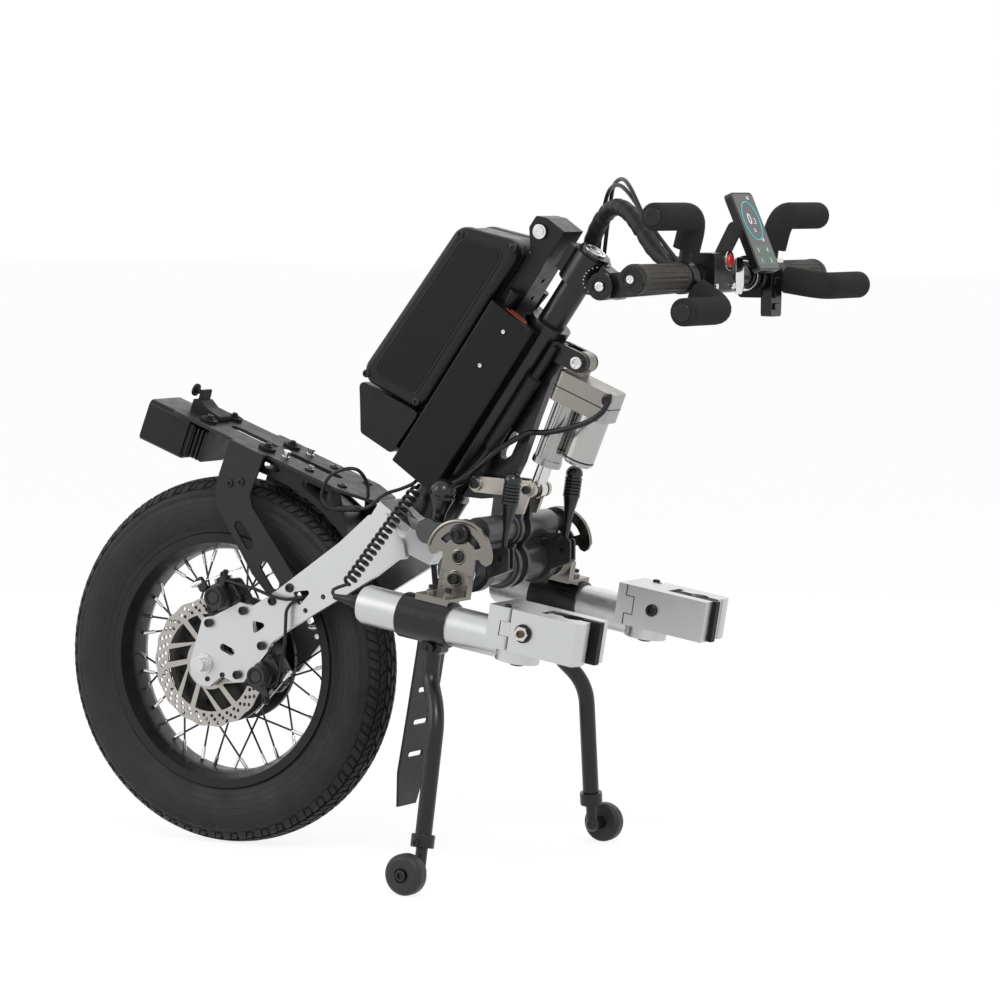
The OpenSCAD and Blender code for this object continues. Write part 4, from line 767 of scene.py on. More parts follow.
CABLE_SHEATH = Finish("cable_sheath", (0.007, 0.007, 0.0075), 0.34, 0.16, scale=900, depth=0.00008, marks=0.06,
                      mark_colour=(0.05, 0.05, 0.05), specular=0.35)
SLEEVE_CLOTH = Finish("sleeve_cloth", (0.012, 0.012, 0.0125), 0.5, 0.18, scale=420, depth=0.0005, shift=0.4,
                      cloud=50, marks=0.2, mark_colour=(0.05, 0.05, 0.05), specular=0.3)
ACTUATOR_CAST = Finish("actuator_cast", (0.27, 0.255, 0.235), 0.36, 0.12, 0.85, 1300, 0.0001, 0.08, 16, 0.05,
                       (0.22, 0.2, 0.18))
RIBBED_TUBE = Finish("ribbed_tube", (0.34, 0.34, 0.335), 0.24, 0.1, 1.0, 700, 0.00004, 0.08, 14, 0.03,
                     (0.25, 0.25, 0.25), (1, 1, 0.04))
MOTOR_SHELL = Finish("motor_shell", (0.42, 0.42, 0.41), 0.3, 0.1, 1.0, 700, 0.00004, 0.08, 14, 0.03, (0.3, 0.3, 0.3),
                     (1, 1, 0.04))
NUT_CORE = Finish("nut_core", (0.12, 0.07, 0.045), 0.4, 0.12, 0.8, scale=1500, depth=0.00004, marks=0.05)
BEAM_GREY = Finish("beam_grey", (0.075, 0.077, 0.08), 0.32, 0.12, 0.6, scale=1500, depth=0.00006, shift=0.12,
                   marks=0.05)
CLAMP_GREY = Finish("clamp_grey", (0.03, 0.031, 0.033), 0.34, 0.12, 0.4, scale=1500, depth=0.00006, shift=0.12,
                    marks=0.05)
STAINLESS = Finish("stainless", (0.23, 0.215, 0.195), 0.24, 0.1, 1.0, 800, 0.00004, 0.06, 22, 0.02,
                   (0.2, 0.18, 0.16), (1, 1, 0.05))
CRANK_BEIGE = Finish("crank_beige", (0.5, 0.47, 0.42), 0.34, 0.12, 0.9, 1300, 0.00006, 0.08, 18, 0.04,
                     (0.4, 0.38, 0.34))
PAD_RUBBER = Finish("pad_rubber", (0.008, 0.008, 0.008), 0.55, 0.16, scale=700, depth=0.0002, marks=0.06,
                    mark_colour=(0.05, 0.05, 0.05), specular=0.25)
ROLLER_GREY = Finish("roller_grey", (0.035, 0.035, 0.036), 0.45, 0.18, scale=700, depth=0.00012, shift=0.3,
                     marks=0.2, mark_colour=(0.1, 0.1, 0.097), specular=0.3)
CHROME = Finish("chrome", (0.74, 0.74, 0.73), 0.1, 0.08, 1.0, 1200, 0.00001, 0.08)
SCREEN_GLASS = Finish("screen_glass", (0.02, 0.022, 0.024), 0.12, 0.06, scale=500, depth=0.0, marks=0.05,
                      mark_colour=(0.06, 0.06, 0.06), coat=0.5)
SCREEN_TEAL = Finish("screen_teal", (0.05, 0.5, 0.47), 0.4, scale=800, depth=0.0, glow=0.5)
SCREEN_WHITE = Finish("screen_white", (0.7, 0.75, 0.75), 0.4, scale=800, depth=0.0, glow=0.5)
KEYPAD_GREEN = Finish("keypad_green", (0.1, 0.17, 0.13), 0.4, scale=800, depth=0.0, glow=0.15)
WHITE_PRINT = Finish("white_print", (0.7, 0.7, 0.69), 0.5, 0.1, scale=900, depth=0.00002)
RED_TRIM = Finish("red_trim", (0.45, 0.08, 0.035), 0.4, 0.1, scale=900, depth=0.00002)


# Fasteners and cords


class Head(Enum):
    """Kinds of bolt head."""

    SOCKET = "socket"
    BUTTON = "button"

    def pattern(self) -> Obj:
        """Model one head of radius 1 that stands on the origin, to be copied."""
        if self is Head.SOCKET:
            return round_edges(press(cylinder(Vector(), UP, 0.9, 1, 20), UP, (0.4, -0.35)), 0.08, 2, 50)
        return press(round_edges(cylinder(Vector(), UP, 0.55, 1, 20), 0.3, 3, 60), UP, (0.22, -0.35))


@dataclass
class Fasteners:
    """All bolts of one finish on one body: the kind, seat, direction and head's radius of each."""

    name: str
    body: str
    rows: Sequence[tuple[Head, Vector, Vector, float]]
    finish: Finish = DARK_BOLT
    slot: str = "bolt_steel"

    def build(self) -> None:
        """Model each kind once, and copy, join and mount the fasteners."""
        patterns = {head: head.pattern() for head in dict.fromkeys(row[0] for row in self.rows)}
        copies = [copied(patterns[head], Matrix.Translation(place) @ facing(axis) @ Matrix.Scale(radius, 4))
                  for head, place, axis, radius in self.rows]
        for obj in patterns.values():
            discard(obj)
        fit(join(copies, self.name), self.finish, self.body, angle=35)


def lay_cord(name: str, line: Sequence[Vector], diameter: float, bodies: tuple[str, ...], nodes: Sequence[str] = (),
             radii: Sequence[float] | None = None, finish: Finish = CABLE_SHEATH,
             sides: int = 5) -> None:
    """Lay a round cord on one body, or leave it in place, carried by neither, where it runs from one body to the next.

    Args:
        name: The cord's name.
        line: Its centre line.
        diameter: Its diameter in metres.
        bodies: The body that carries it, or two bodies, in which case it is left in place and carried by neither.
        nodes: CAD nodes that it stands for.
        radii: Share of the radius at each point.
        finish: Its finish.
        sides: Bevel resolution of its round section.
    """
    obj = tube_mesh(name, line, diameter, radii, sides)
    if len(bodies) == 1:
        fit(obj, finish, bodies[0], nodes, 0)
    else:
        dress(obj, finish)
        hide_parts(*nodes)
        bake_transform(obj)
    LOG.info("%s is %.3f m long", name, length_of(line))


# Sub-assemblies


@dataclass
class Wheel:
    """Treaded tyre on a wide black rim with crossed spokes, hub motor and brake disc."""

    outer: float = 0.2285
    width: float = 0.076
    groove: float = 0.0032
    pitches: int = 60
    section_steps: int = 44
    shoulder: float = 2.24
    disc_y: Pair = (53, 2)
    bead: tuple[Pair, ...] = ((0.0284, 0.1615), (0.028, 0.1598), (0.0248, 0.1521), (0.0196, 0.1508))
    blocks: tuple[tuple[Pair, Pair, float], ...] = (
        ((0.03, 0.2), (0, 0.8), 0.28), ((0.26, 0.52), (0.1, 0.52), -0.34), ((0.26, 0.5), (0.6, 1.0), -0.34),
        ((0.57, 0.93), (0, 0.44), 0.3), ((0.6, 0.86), (0.52, 0.84), 0.26))

    @property
    def axle(self) -> Vector:
        """Return the wheel's centre."""
        return spot(0, 0, 0)

    def build(self) -> None:
        """Build the tyre and dress the rest of the wheel."""
        fit(join([self.carcass(), self.tread()], "tyre_piece"), TYRE_RUBBER, "wheel", ["tyre"], 0)
        softened("rim", RIM_ALLOY, 0.0008, 25)
        softened("spokes", SPOKE_BLACK, 0)
        softened("hub_motor", BLACK_ALLOY, 0.0008)
        self.disc()

    def disc_spot(self, radius: float, angle: float, y: float) -> Vector:
        """Return a point on the brake disc, from millimetres and degrees."""
        (x, z), = arc(radius, [angle])
        return spot(x, y, z)

    def disc(self) -> None:
        """Model the brake disc: a wavy drilled band, swept arms and an inner ring."""
        y, thick = self.disc_y
        push = Vector((0, thick / 1000, 0))

        def bore(radius: float, sides: int, from_axle: float = 0, angle: float = 0) -> Obj:
            """Return a cutter that goes through the disc."""
            return cylinder(self.disc_spot(from_axle, angle, y - 1), LEFT, (thick + 2) / 1000, radius, sides)

        wave = [self.disc_spot(79 + 0.9 * math.cos(math.radians(18 * a)), a, y) for a in range(0, 360, 2)]
        band = outline_solid(wave, push)
        holes = [bore(0.0023, 12, r, 10 * k + turn) for k in range(36)
                 for r, turn in ((75, 0), (70.2, 3.4), (65.6, 6.8)) if k % 6 != 5 or r < 74]
        pieces = [cut_away(band, [bore(0.0605, 96), join(holes, "holes")])]
        for turn in range(0, 360, 60):
            for sweep, lift, share in ((-46, 0.04, 0.92), (-8, 0.02, 0.96)):
                corners = ((28, -5), (28, 8), (62, sweep + 5), (62, sweep - 2))
                ends = [self.disc_spot(r, turn + a, y) + push * lift for r, a in corners]
                pieces.append(outline_solid(ends, push * share))
        ring = cylinder(self.disc_spot(0, 0, y + 0.1), LEFT, (thick - 0.2) / 1000, 0.033, 64)
        pieces.append(cut_away(ring, [bore(0.0215, 48)]))
        obj = round_edges(join(pieces, "brake_disc_piece"), 0.0002, 1, 50)
        fit(obj, DISC_STEEL, "wheel", ["brake_disc"], 35)

    def on_section(self, lateral: float, along: float, height: float) -> Vector:
        """Give a point over the tyre's crown.

        Args:
            lateral: Angle round the tyre's section from its crown, in radians.
            along: Angle round the wheel, in radians.
            height: Height over the bottom of the grooves.

        Returns:
            The point in metres.
        """
        ring = self.outer - self.width / 2
        reach = self.width / 2 - self.groove + height
        square = 1 + 0.06 * math.sin(2 * lateral) ** 2
        radius = ring + reach * math.cos(lateral) * square
        side = reach * math.sin(lateral) * (1 + 0.02 * math.sin(2 * abs(lateral)))
        return self.axle + Vector((radius * math.sin(along), side, radius * math.cos(along)))

    def carcass(self) -> Obj:
        """Spin the tyre's section, from bead to bead, round the axle.

        Returns:
            A closed casing without blocks.
        """
        section = []
        for k in range(self.section_steps + 1):
            angle = self.shoulder * (2 * k / self.section_steps - 1)
            fade = min(1, max(0, (abs(angle) - 0.86) / 0.12))
            section.append(self.on_section(angle, 0, self.groove * fade))
        section += [self.axle + Vector((0, y, r)) for y, r in self.bead]
        section += [self.axle + Vector((0, -y, r)) for y, r in reversed(self.bead)]
        obj = loop_of(section)
        with whole_mesh(obj):
            bpy.ops.mesh.spin(steps=180, angle=2 * math.pi, center=self.axle, axis=LEFT)
            bpy.ops.mesh.select_all(action="SELECT")
            bpy.ops.mesh.remove_doubles(threshold=1e-5)
            bpy.ops.mesh.normals_make_consistent(inside=False)
        bpy.ops.object.shade_smooth_by_angle(angle=math.radians(40))
        return obj

    def block(self, lateral: Pair, along: Pair, slant: float) -> Obj:
        """Shape one tread block from a cube.

        Args:
            lateral: Where it begins and ends round the tyre's section, in radians.
            along: Where it begins and ends along one pitch, from 0 to 1.
            slant: How far its outer end leans along the pitch.

        Returns:
            The block on the crown at the wheel's top.
        """
        clear_selection()
        bpy.ops.mesh.primitive_cube_add(size=1, location=(0.5, 0.5, 0.5))
        obj = rest_in_place(bpy.context.object)
        with whole_mesh(obj):
            bpy.ops.mesh.subdivide(number_cuts=1)
        pitch = 2 * math.pi / self.pitches
        for vertex in obj.data.vertices:
            u, v, w = vertex.co
            taper = 0.94 if w > 0.9 else 1.0
            u, v = 0.5 + (u - 0.5) * taper, 0.5 + (v - 0.5) * taper
            side = lateral[0] + (lateral[1] - lateral[0]) * u
            turn = along[0] + (along[1] - along[0]) * v + slant * u
            vertex.co = self.on_section(side, turn * pitch, w * (self.groove - 0.0001) - (0.0006 if w < 0.1 else 0))
        with whole_mesh(obj):
            bpy.ops.mesh.normals_make_consistent(inside=False)
        return round_edges(obj, 0.0005, 1, 40)

    def tread(self) -> Obj:
        """Model one pitch of the zig-zag tread and spin copies of it round the wheel.

        Returns:
            All the tread blocks.
        """
        blocks = [self.block((side * a, side * b), (shift + c, shift + d), slant)
                  for side, shift in ((-1, 0.5), (1, 0.0)) for (a, b), (c, d), slant in self.blocks]
        obj = join(blocks, "tread")
        with whole_mesh(obj):
            bpy.ops.mesh.spin(steps=self.pitches - 1, dupli=True, center=self.axle, axis=LEFT,
                              angle=2 * math.pi * (self.pitches - 1) / self.pitches)
        bpy.ops.object.shade_smooth_by_angle(angle=math.radians(30))
        return obj


@dataclass
class Caliper:
    """One cable-pulled brake caliper on its two bolts, with an adjusting knob, a lever and a cable barrel."""

    name: str
    first: Vector
    last: Vector
    inner: float = 39.0
    outer: float = 73.0
    disc_r: float = 82.0
    disc_room: Pair = (51.5, 56.5)

    @property
    def half(self) -> float:
        """Return half the distance between the two bolts."""
        return (self.last - self.first).length / 2

    def caliper_spot(self, u: float, v: float, y: float) -> Vector:
        """Give a point in the caliper's frame.

        Args:
            u: Millimetres along the line of the bolts, from their middle.
            v: Millimetres away from the disc's edge towards the bolts.
            y: Millimetres to the left of the wheel's middle.

        Returns:
            The point in metres.
        """
        run = (self.last - self.first).normalized()
        middle = (self.first + self.last) / 2
        return spot(middle.x + u * run.x - v * run.y, y, middle.y + u * run.y + v * run.x)

    def plate(self, outline: Sequence[Pair], radius: float, y: Pair, width: float) -> Obj:
        """Make a plate square to the axle with rounded corners and edges.

        Args:
            outline: Its corners in the caliper's frame.
            radius: Radius of the corners in millimetres.
            y: Where it begins and ends.
            width: Width of its edges' rounding in metres.

        Returns:
            The plate.
        """
        ring = [self.caliper_spot(u, v, y[0]) for u, v in rounded_outline(outline, radius)]
        return round_edges(outline_solid(ring, Vector((0, (y[1] - y[0]) / 1000, 0))), width, 2, 50)

    def build(self) -> None:
        """Model the caliper: body, dome, ears, lever, cable rest, fins, ridge, knob and collar."""
        half, near, far = self.half, self.inner, self.outer
        body = self.plate(((-half - 3, -11), (half + 3, -11), (half - 7, -44), (-half + 7, -44)), 6,
                          (near, far - 6), 0.003)
        dome = self.plate(((-15, -10), (15, -10), (12, -42), (-12, -42)), 9, (far - 8, far + 3), 0.004)
        ears = self.plate(((-half - 8, 8), (half + 8, 8), (half + 4, -18), (-half - 4, -18)), 6, (57, 59.6), 0.0006)
        lever = self.plate(((-7, -22), (7, -30), (half - 2, -53), (half - 7, -56), (half - 14, -52)), 3,
                           (far - 3, far + 1), 0.0008)
        rest = self.plate(((-half + 2, -38), (-half + 14, -42), (-half + 9, -58), (-half - 2, -56)), 3,
                          (far - 6, far - 1), 0.0008)
        fins = [self.plate(((-9, v), (9, v), (8, v - 1), (-8, v - 1)), 0.3, (near + 3, far - 14), 0.0002)
                for v in (-43 - 1.8 * k for k in range(4))]
        ridge = self.plate(((-8, -41), (8, -41), (7, -51), (-7, -51)), 3, (near + 6, far - 18), 0.001)
        knob = cylinder(self.caliper_spot(0, -26, far + 2), LEFT, 0.012, 0.0128, 28)
        round_edges(press(knob, LEFT, (0.0028, -0.003), (0.003, 0.002)), 0.0007, 2, 40)
        collar = round_edges(cylinder(self.caliper_spot(0, -26, far - 1), LEFT, 0.005, 0.0145, 32), 0.001, 2, 40)
        low, high = self.disc_room
        for piece in (ears, body):
            cut_away(piece, [cylinder(spot(0, low, 0), LEFT, (high - low) / 1000, self.disc_r / 1000, 96)])
        obj = join([body, dome, ears, lever, rest, ridge, *fins, collar], self.name + "_caliper")
        fit(obj, CALIPER_BLACK, "steering", ["brake_calipers"], 35)
        fit(settle(knob, self.name + "_caliper_knob"), ROLLER_GREY, "steering", ["brake_calipers"], 35)
        self.trim()

    def trim(self) -> None:
        """Add the caliper's bolts, cable barrel and the bare end of the inner cable."""
        half, far = self.half, self.outer
        rows = ((Head.SOCKET, -half, 0, 68.3, 0.0054), (Head.SOCKET, half, 0, 68.3, 0.0054),
                (Head.SOCKET, half - 9, -50, far + 0.8, 0.0038), (Head.BUTTON, half - 2, -17, far - 6.4, 0.0034),
                (Head.BUTTON, -half + 2, -17, far - 6.4, 0.0034))
        Fasteners(self.name + "_caliper_bolts", "steering",
                  [(head, self.caliper_spot(u, v, y), LEFT, radius) for head, u, v, y, radius in rows]).build()
        barrel = [self.caliper_spot(u - half, -52 - 0.04 * (u - half), far - 3.5) for u in (-9, -5, -4.6, 1, 8)]
        wire_line = [self.caliper_spot(u, -51.5, far - 3.4) for u in (-half + 4, 0, half - 9, half + 8)]
        tip = [wire_line[-1], self.caliper_spot(half + 15, -51, far - 3.4)]
        pieces = [tube_mesh("barrel", barrel, 0.0072, (0.7, 0.7, 1, 1, 0.8), 4),
                  tube_mesh("wire", wire_line, 0.0012, sides=1), tube_mesh("wire_end", tip, 0.0026, sides=2)]
        fit(join(pieces, self.name + "_caliper_cable"), BOLT_STEEL, "steering", angle=0)


@dataclass
class Fork:
    """Two plate arms with a crown, two calipers and the axle, and the bolts that hold the rack's legs."""

    arm_face: float = 68.0
    steerer_r: float = 0.0178
    caliper_bolts: dict[str, tuple[Pair, Pair]] = field(default_factory=lambda: {
        "upper": ((-8.4, 51), (-58, 69)), "lower": ((-85, 27.5), (-50, -10.5))})

    def build(self) -> None:
        """Dress the fork and add its bolts and brake cables."""
        for node in ("fork_arm_left", "fork_arm_right"):
            softened(node, SILVER_PAINT, 0.0008)
        crown = softened("fork_crown", SILVER_PAINT, 0.0012)
        repaint(crown, POWDER_BLACK, lambda p: self.from_axis(p) < self.steerer_r)
        for name, bolts in self.caliper_bolts.items():
            Caliper(name, *(Vector(b) for b in bolts)).build()
        softened("axle", BOLT_STEEL, 0.0006)
        face = self.arm_face
        rows = ((-123.5, face, 100.5, 0.0056), (-98.5, face, 83, 0.0056), (-5.5, face, -18.5, 0.0032),
                (-27, face, -12, 0.0032), (-32, 60, 224, 0.0046), (-48, 60, 226, 0.0046))
        Fasteners("fork_bolts", "steering", [(Head.BUTTON, spot(x, side * y, z), LEFT * side, radius)
                                             for side, _ in SIDES for x, y, z, radius in rows]).build()
        self.cables()

    def from_axis(self, place: Vector) -> float:
        """Return a point's distance from the steering axis, in metres."""
        offset = place - column_spot(0, 0, 0)
        return (offset - COLUMN_UP * offset.dot(COLUMN_UP)).length

    def cables(self) -> None:
        """Lay the two brake cables from the calipers through the left arm's window."""
        routes = {
            "upper_brake_cable": ((-28, 4, 106), (-42, 6, 104), (-60, 8, 101), (-80, 8, 97), (-102, 7, 90),
                                  (-122, 6, 87), (-136, 2, 89), (-143, -6, 91), (-147, -18, 95)),
            "lower_brake_cable": ((-106, 4, -22), (-113, 6, -6), (-118, 8, 14), (-122, 8, 36), (-123, 8, 58),
                                  (-124, 7, 74), (-131, 3, 84), (-138, -6, 87), (-143, -18, 91))}
        for name, route in routes.items():
            line = smooth_path([(x, self.arm_face + y, z) for x, y, z in route], 4)
            lay_cord(name, line, 0.0042, ("steering",))


@dataclass
class Rack:
    """Sloping carrier with its headlight, rubber buffers and mudguards."""

    origin: Pair = (60, 311.5)
    slope: float = math.radians(20.3)
    lamp_half: float = 18.0
    post_r: float = 0.0088

    def rack_spot(self, x: float, y: float, z: float) -> Vector:
        """Return a point in the rack's sloping frame, given in millimetres."""
        return tilted(self.origin, self.slope, x, y, z)

    def build(self) -> None:
        """Dress the rack and build the lamp's inside."""
        softened("rack", RACK_BLACK, 0.0006)
        fittings = softened("rack_fittings", PAD_RUBBER, 0.0006)
        posts = [self.rack_spot(-162, y, 5) for y in (-29, 29)]
        repaint(fittings, BOLT_STEEL, lambda p: min((p - post).length for post in posts) < self.post_r)
        softened("headlight_housing", BLACK_PLASTIC, 0.0008)
        softened("headlight_lens", LENS, 0.0006)
        softened("mudguards", BLACK_PLASTIC, 0.0004)
        self.lamp_bowls()
        up = self.rack_spot(0, 0, 1) - self.rack_spot(0, 0, 0)
        rows = ((Head.BUTTON, -200, 30, -0.6, 0.0062), (Head.BUTTON, -250, 30, -0.6, 0.0062),
                (Head.SOCKET, -43, 29, 5.6, 0.0035), (Head.SOCKET, -134, 29, 5.6, 0.0035))
        Fasteners("rack_bolts", "steering", [(head, self.rack_spot(x, side * y, z), up, radius)
                                             for side in (-1, 1) for head, x, y, z, radius in rows]).build()

    def lamp_bowls(self) -> None:
        """Model two polished bowls with a lamp in each, inside the lens."""
        ahead = self.rack_spot(1, 0, 0) - self.rack_spot(0, 0, 0)
        pieces = []
        for y in (-self.lamp_half, self.lamp_half):
            bowl = cylinder(self.rack_spot(24, y, -31), ahead, 0.009, 0.013, 32)
            pieces.append(round_edges(press(bowl, ahead, (0.0012, -0.007), (0.0075, 0.0025)), 0.0008, 2, 40))
        fit(join(pieces, "lamp_bowls"), CHROME, "steering")


@dataclass
class Column:
    """Head tube with the controller box, the gusset frame and the stem base above."""

    box_half: float = 48.0
    dots: int = 12
    stem_r: float = 24.0

    def build(self) -> None:
        """Dress the column and add its screws, slot trim and graduation."""
        softened("head_tube", POWDER_BLACK, 0.0008)
        softened("gusset_frame", POWDER_BLACK, 0.001)
        softened("controller_box", PANEL_BLACK, 0.0016)
        softened("stem_base", POWDER_BLACK, 0.0012)
        screws = [(Head.SOCKET, spot(x, side * self.box_half, z), LEFT * side, 0.0026)
                  for side, _ in SIDES for x, z in ((-406.8, 419.1), (-375.5, 378.3))]
        screws += [(Head.SOCKET, spot(ACTUATOR_PIN[0], side * 14.5, ACTUATOR_PIN[1]), LEFT * side, 0.0075)
                   for side, _ in SIDES]
        Fasteners("box_screws", "frame", screws, BOLT_STEEL).build()
        self.slot_trim()
        self.graduation()

    def slot_trim(self) -> None:
        """Lay the red line round the slot in the box's top."""
        ring = [column_spot(31 + 18.5 * x, self.box_half - 13 + 4.2 * y, 597.4)
                for x, y in arc(1, [360 * k / 32 for k in range(33)])]
        fit(tube_mesh("slot_trim", ring, 0.0014, sides=1), RED_TRIM, "frame", angle=0)

    def graduation(self) -> None:
        """Set the white dots of the stem's angle scale and its plated cap."""
        dots = []
        for x, z in arc(27, [-62 + 124 * k / (self.dots - 1) for k in range(self.dots)]):
            t, s = -39 + x, 686 + z * 0.85
            y = math.sqrt(self.stem_r ** 2 - t ** 2) if abs(t) < self.stem_r else 0
            out = COLUMN_AHEAD * t + LEFT * y
            dots.append(round_edges(cylinder(column_spot(t, y - 0.4, s), out, 0.0007, 0.0009, 10), 0.0002, 1))
        fit(join(dots, "stem_graduation"), WHITE_PRINT, "steering", angle=0)
        cap = cylinder(column_spot(2, 0, 708.6), COLUMN_UP, 0.0028, 0.0145, 40)
        round_edges(press(cap, COLUMN_UP, (0.0035, -0.0012), (0.004, 0.0016)), 0.0005)
        fit(settle(cap, "stem_cap"), BOLT_STEEL, "steering")


@dataclass
class Battery:
    """Battery pack in its dock, with the rail behind it and the key lock above."""

    outline: tuple[Pair, ...] = ((162, 410), (67, 427), (65, 677), (152, 641))
    half: float = 43.0
    corner: float = 19.0
    shell_from: float = 17.0

    def build(self) -> None:
        """Model the case and dress the dock, rail and lock."""
        self.case()
        softened("battery_dock", BLACK_PLASTIC, 0.002)
        softened("battery_rail", BLACK_PLASTIC, 0.0008)
        softened("key_cylinder", CHROME, 0.0005)
        ring = press(cylinder(column_spot(64, 27, 694), LEFT, 0.0014, 0.0088, 40), LEFT, (0.0022, -0.001))
        fit(settle(round_edges(ring, 0.0003), "lock_ring"), CHROME, "frame")

    def inner_outline(self, inset: float) -> list[Pair]:
        """Give the side outline moved inwards.

        Args:
            inset: Millimetres that each edge moves.

        Returns:
            The moved corners.
        """
        corners = [Vector(p) for p in self.outline]
        middle = sum(corners, Vector((0, 0))) / len(corners)
        moved = []
        for a, b in zip(corners, corners[1:] + corners[:1]):
            run = (b - a).normalized()
            inward = Vector((-run.y, run.x))
            inward = inward if inward.dot(middle - a) > 0 else -inward
            moved.append((a + inward * inset, run))
        out = []
        for (p, u), (q, v) in zip(moved[-1:] + moved[:-1], moved):
            k = ((q.x - p.x) * v.y - (q.y - p.y) * v.x) / (u.x * v.y - u.y * v.x)
            out.append(tuple(p + u * k))
        return out

    def side_solid(self, inset: float, corner: float, y: float, thick: float) -> Obj:
        """Make a plate with the case's side outline.

        Args:
            inset: Millimetres that it is smaller all round.
            corner: Radius of its corners in millimetres.
            y: Where it begins.
            thick: Its thickness to the left, in millimetres.

        Returns:
            The plate.
        """
        ring = rounded_outline(self.inner_outline(inset), corner, 10)
        return outline_solid([column_spot(t, y, s) for t, s in ring], Vector((0, thick / 1000, 0)))

    def case(self) -> None:
        """Model the case: a waist, two bevelled side shells and a flat dark panel in each side's frame."""
        shells, panels = [self.side_solid(1.5, self.corner - 1, -20, 40)], []
        for side, _ in SIDES:
            start = self.shell_from if side > 0 else -self.half
            shell = self.side_solid(0, self.corner, start, self.half - self.shell_from)
            shells.append(modify(shell, "BEVEL", width=0.0085, segments=3, limit_method="ANGLE",
                                 angle_limit=math.radians(60), use_clamp_overlap=False))
            line = [column_spot(t, side * (self.half - 0.1), s)
                    for t, s in rounded_outline(self.inner_outline(15), 10, 8)]
            shells.append(tube_mesh("frame_line", line + line[:2], 0.0022, sides=2))
            panel = self.side_solid(17.5, 8, self.half - 0.4 if side > 0 else -self.half - 0.6, 1)
            panels.append(round_edges(panel, 0.0004, 2, 60))
        fit(join(shells, "battery_case_piece"), BLACK_PLASTIC, "battery", ["battery_case"], 30)
        fit(join(panels, "battery_panels"), PANEL_BLACK, "battery")
        Fasteners("battery_screws", "battery", [
            (Head.BUTTON, column_spot(t, side * (self.half - 0.9), z), LEFT * side, 0.005)
            for side, _ in SIDES for t, z in rounded_outline(self.inner_outline(9.5), 0.01, 1)[::2]]).build()


@dataclass
class Lift:
    """Linear actuator that tilts the beam, with its motor and rod."""

    tube_top: float = (ACTUATOR_PIN[1] - 50 + AXLE_Z) / 1000
    tilt: float = math.atan2(62, 153)

    def build(self) -> None:
        """Dress the actuator and add its joint lines and lead gland."""
        housing = softened("actuator_housing", ACTUATOR_CAST, 0.001)
        repaint(housing, RIBBED_TUBE, lambda p: p.z < self.tube_top)
        softened("actuator_motor", MOTOR_SHELL, 0.0012)
        softened("actuator_rod", BOLT_STEEL, 0.0006)
        self.seam()

    def actuator_spot(self, x: float, y: float, z: float) -> Vector:
        """Return a point in the actuator's tilted frame, given in millimetres."""
        return tilted(ACTUATOR_PIN, self.tilt, x, y, z)

    def seam(self) -> None:
        """Model the dark joint line round the gearbox, the motor's rim and the lead's gland on its side."""
        up = self.actuator_spot(0, 0, 1) - self.actuator_spot(0, 0, 0)
        box = rounded_outline([(-60.3, -21.3), (19.3, -21.3), (19.3, 21.3), (-60.3, 21.3)], 9.3, 8)
        joint = outline_solid([self.actuator_spot(x, y, -36) for x, y in box], up * 1.4)
        rim = press(cylinder(self.actuator_spot(-38, 0, -109), up, 0.0022, 0.0192, 64), up, (0.0006, 0))
        lines = [round_edges(piece, 0.0002, 1) for piece in (joint, rim)]
        fit(join(lines, "actuator_joint_lines"), RIM_ALLOY, "actuator")
        aside = Vector((-0.35, 0.9, -0.25))
        gland = cylinder(spot(-531, 19, 343), aside, 0.012, 0.0062, 24)
        round_edges(press(gland, aside, (0.0014, 0.002 * aside.length)), 0.0008)
        fit(settle(gland, "actuator_gland"), CABLE_SHEATH, "actuator")


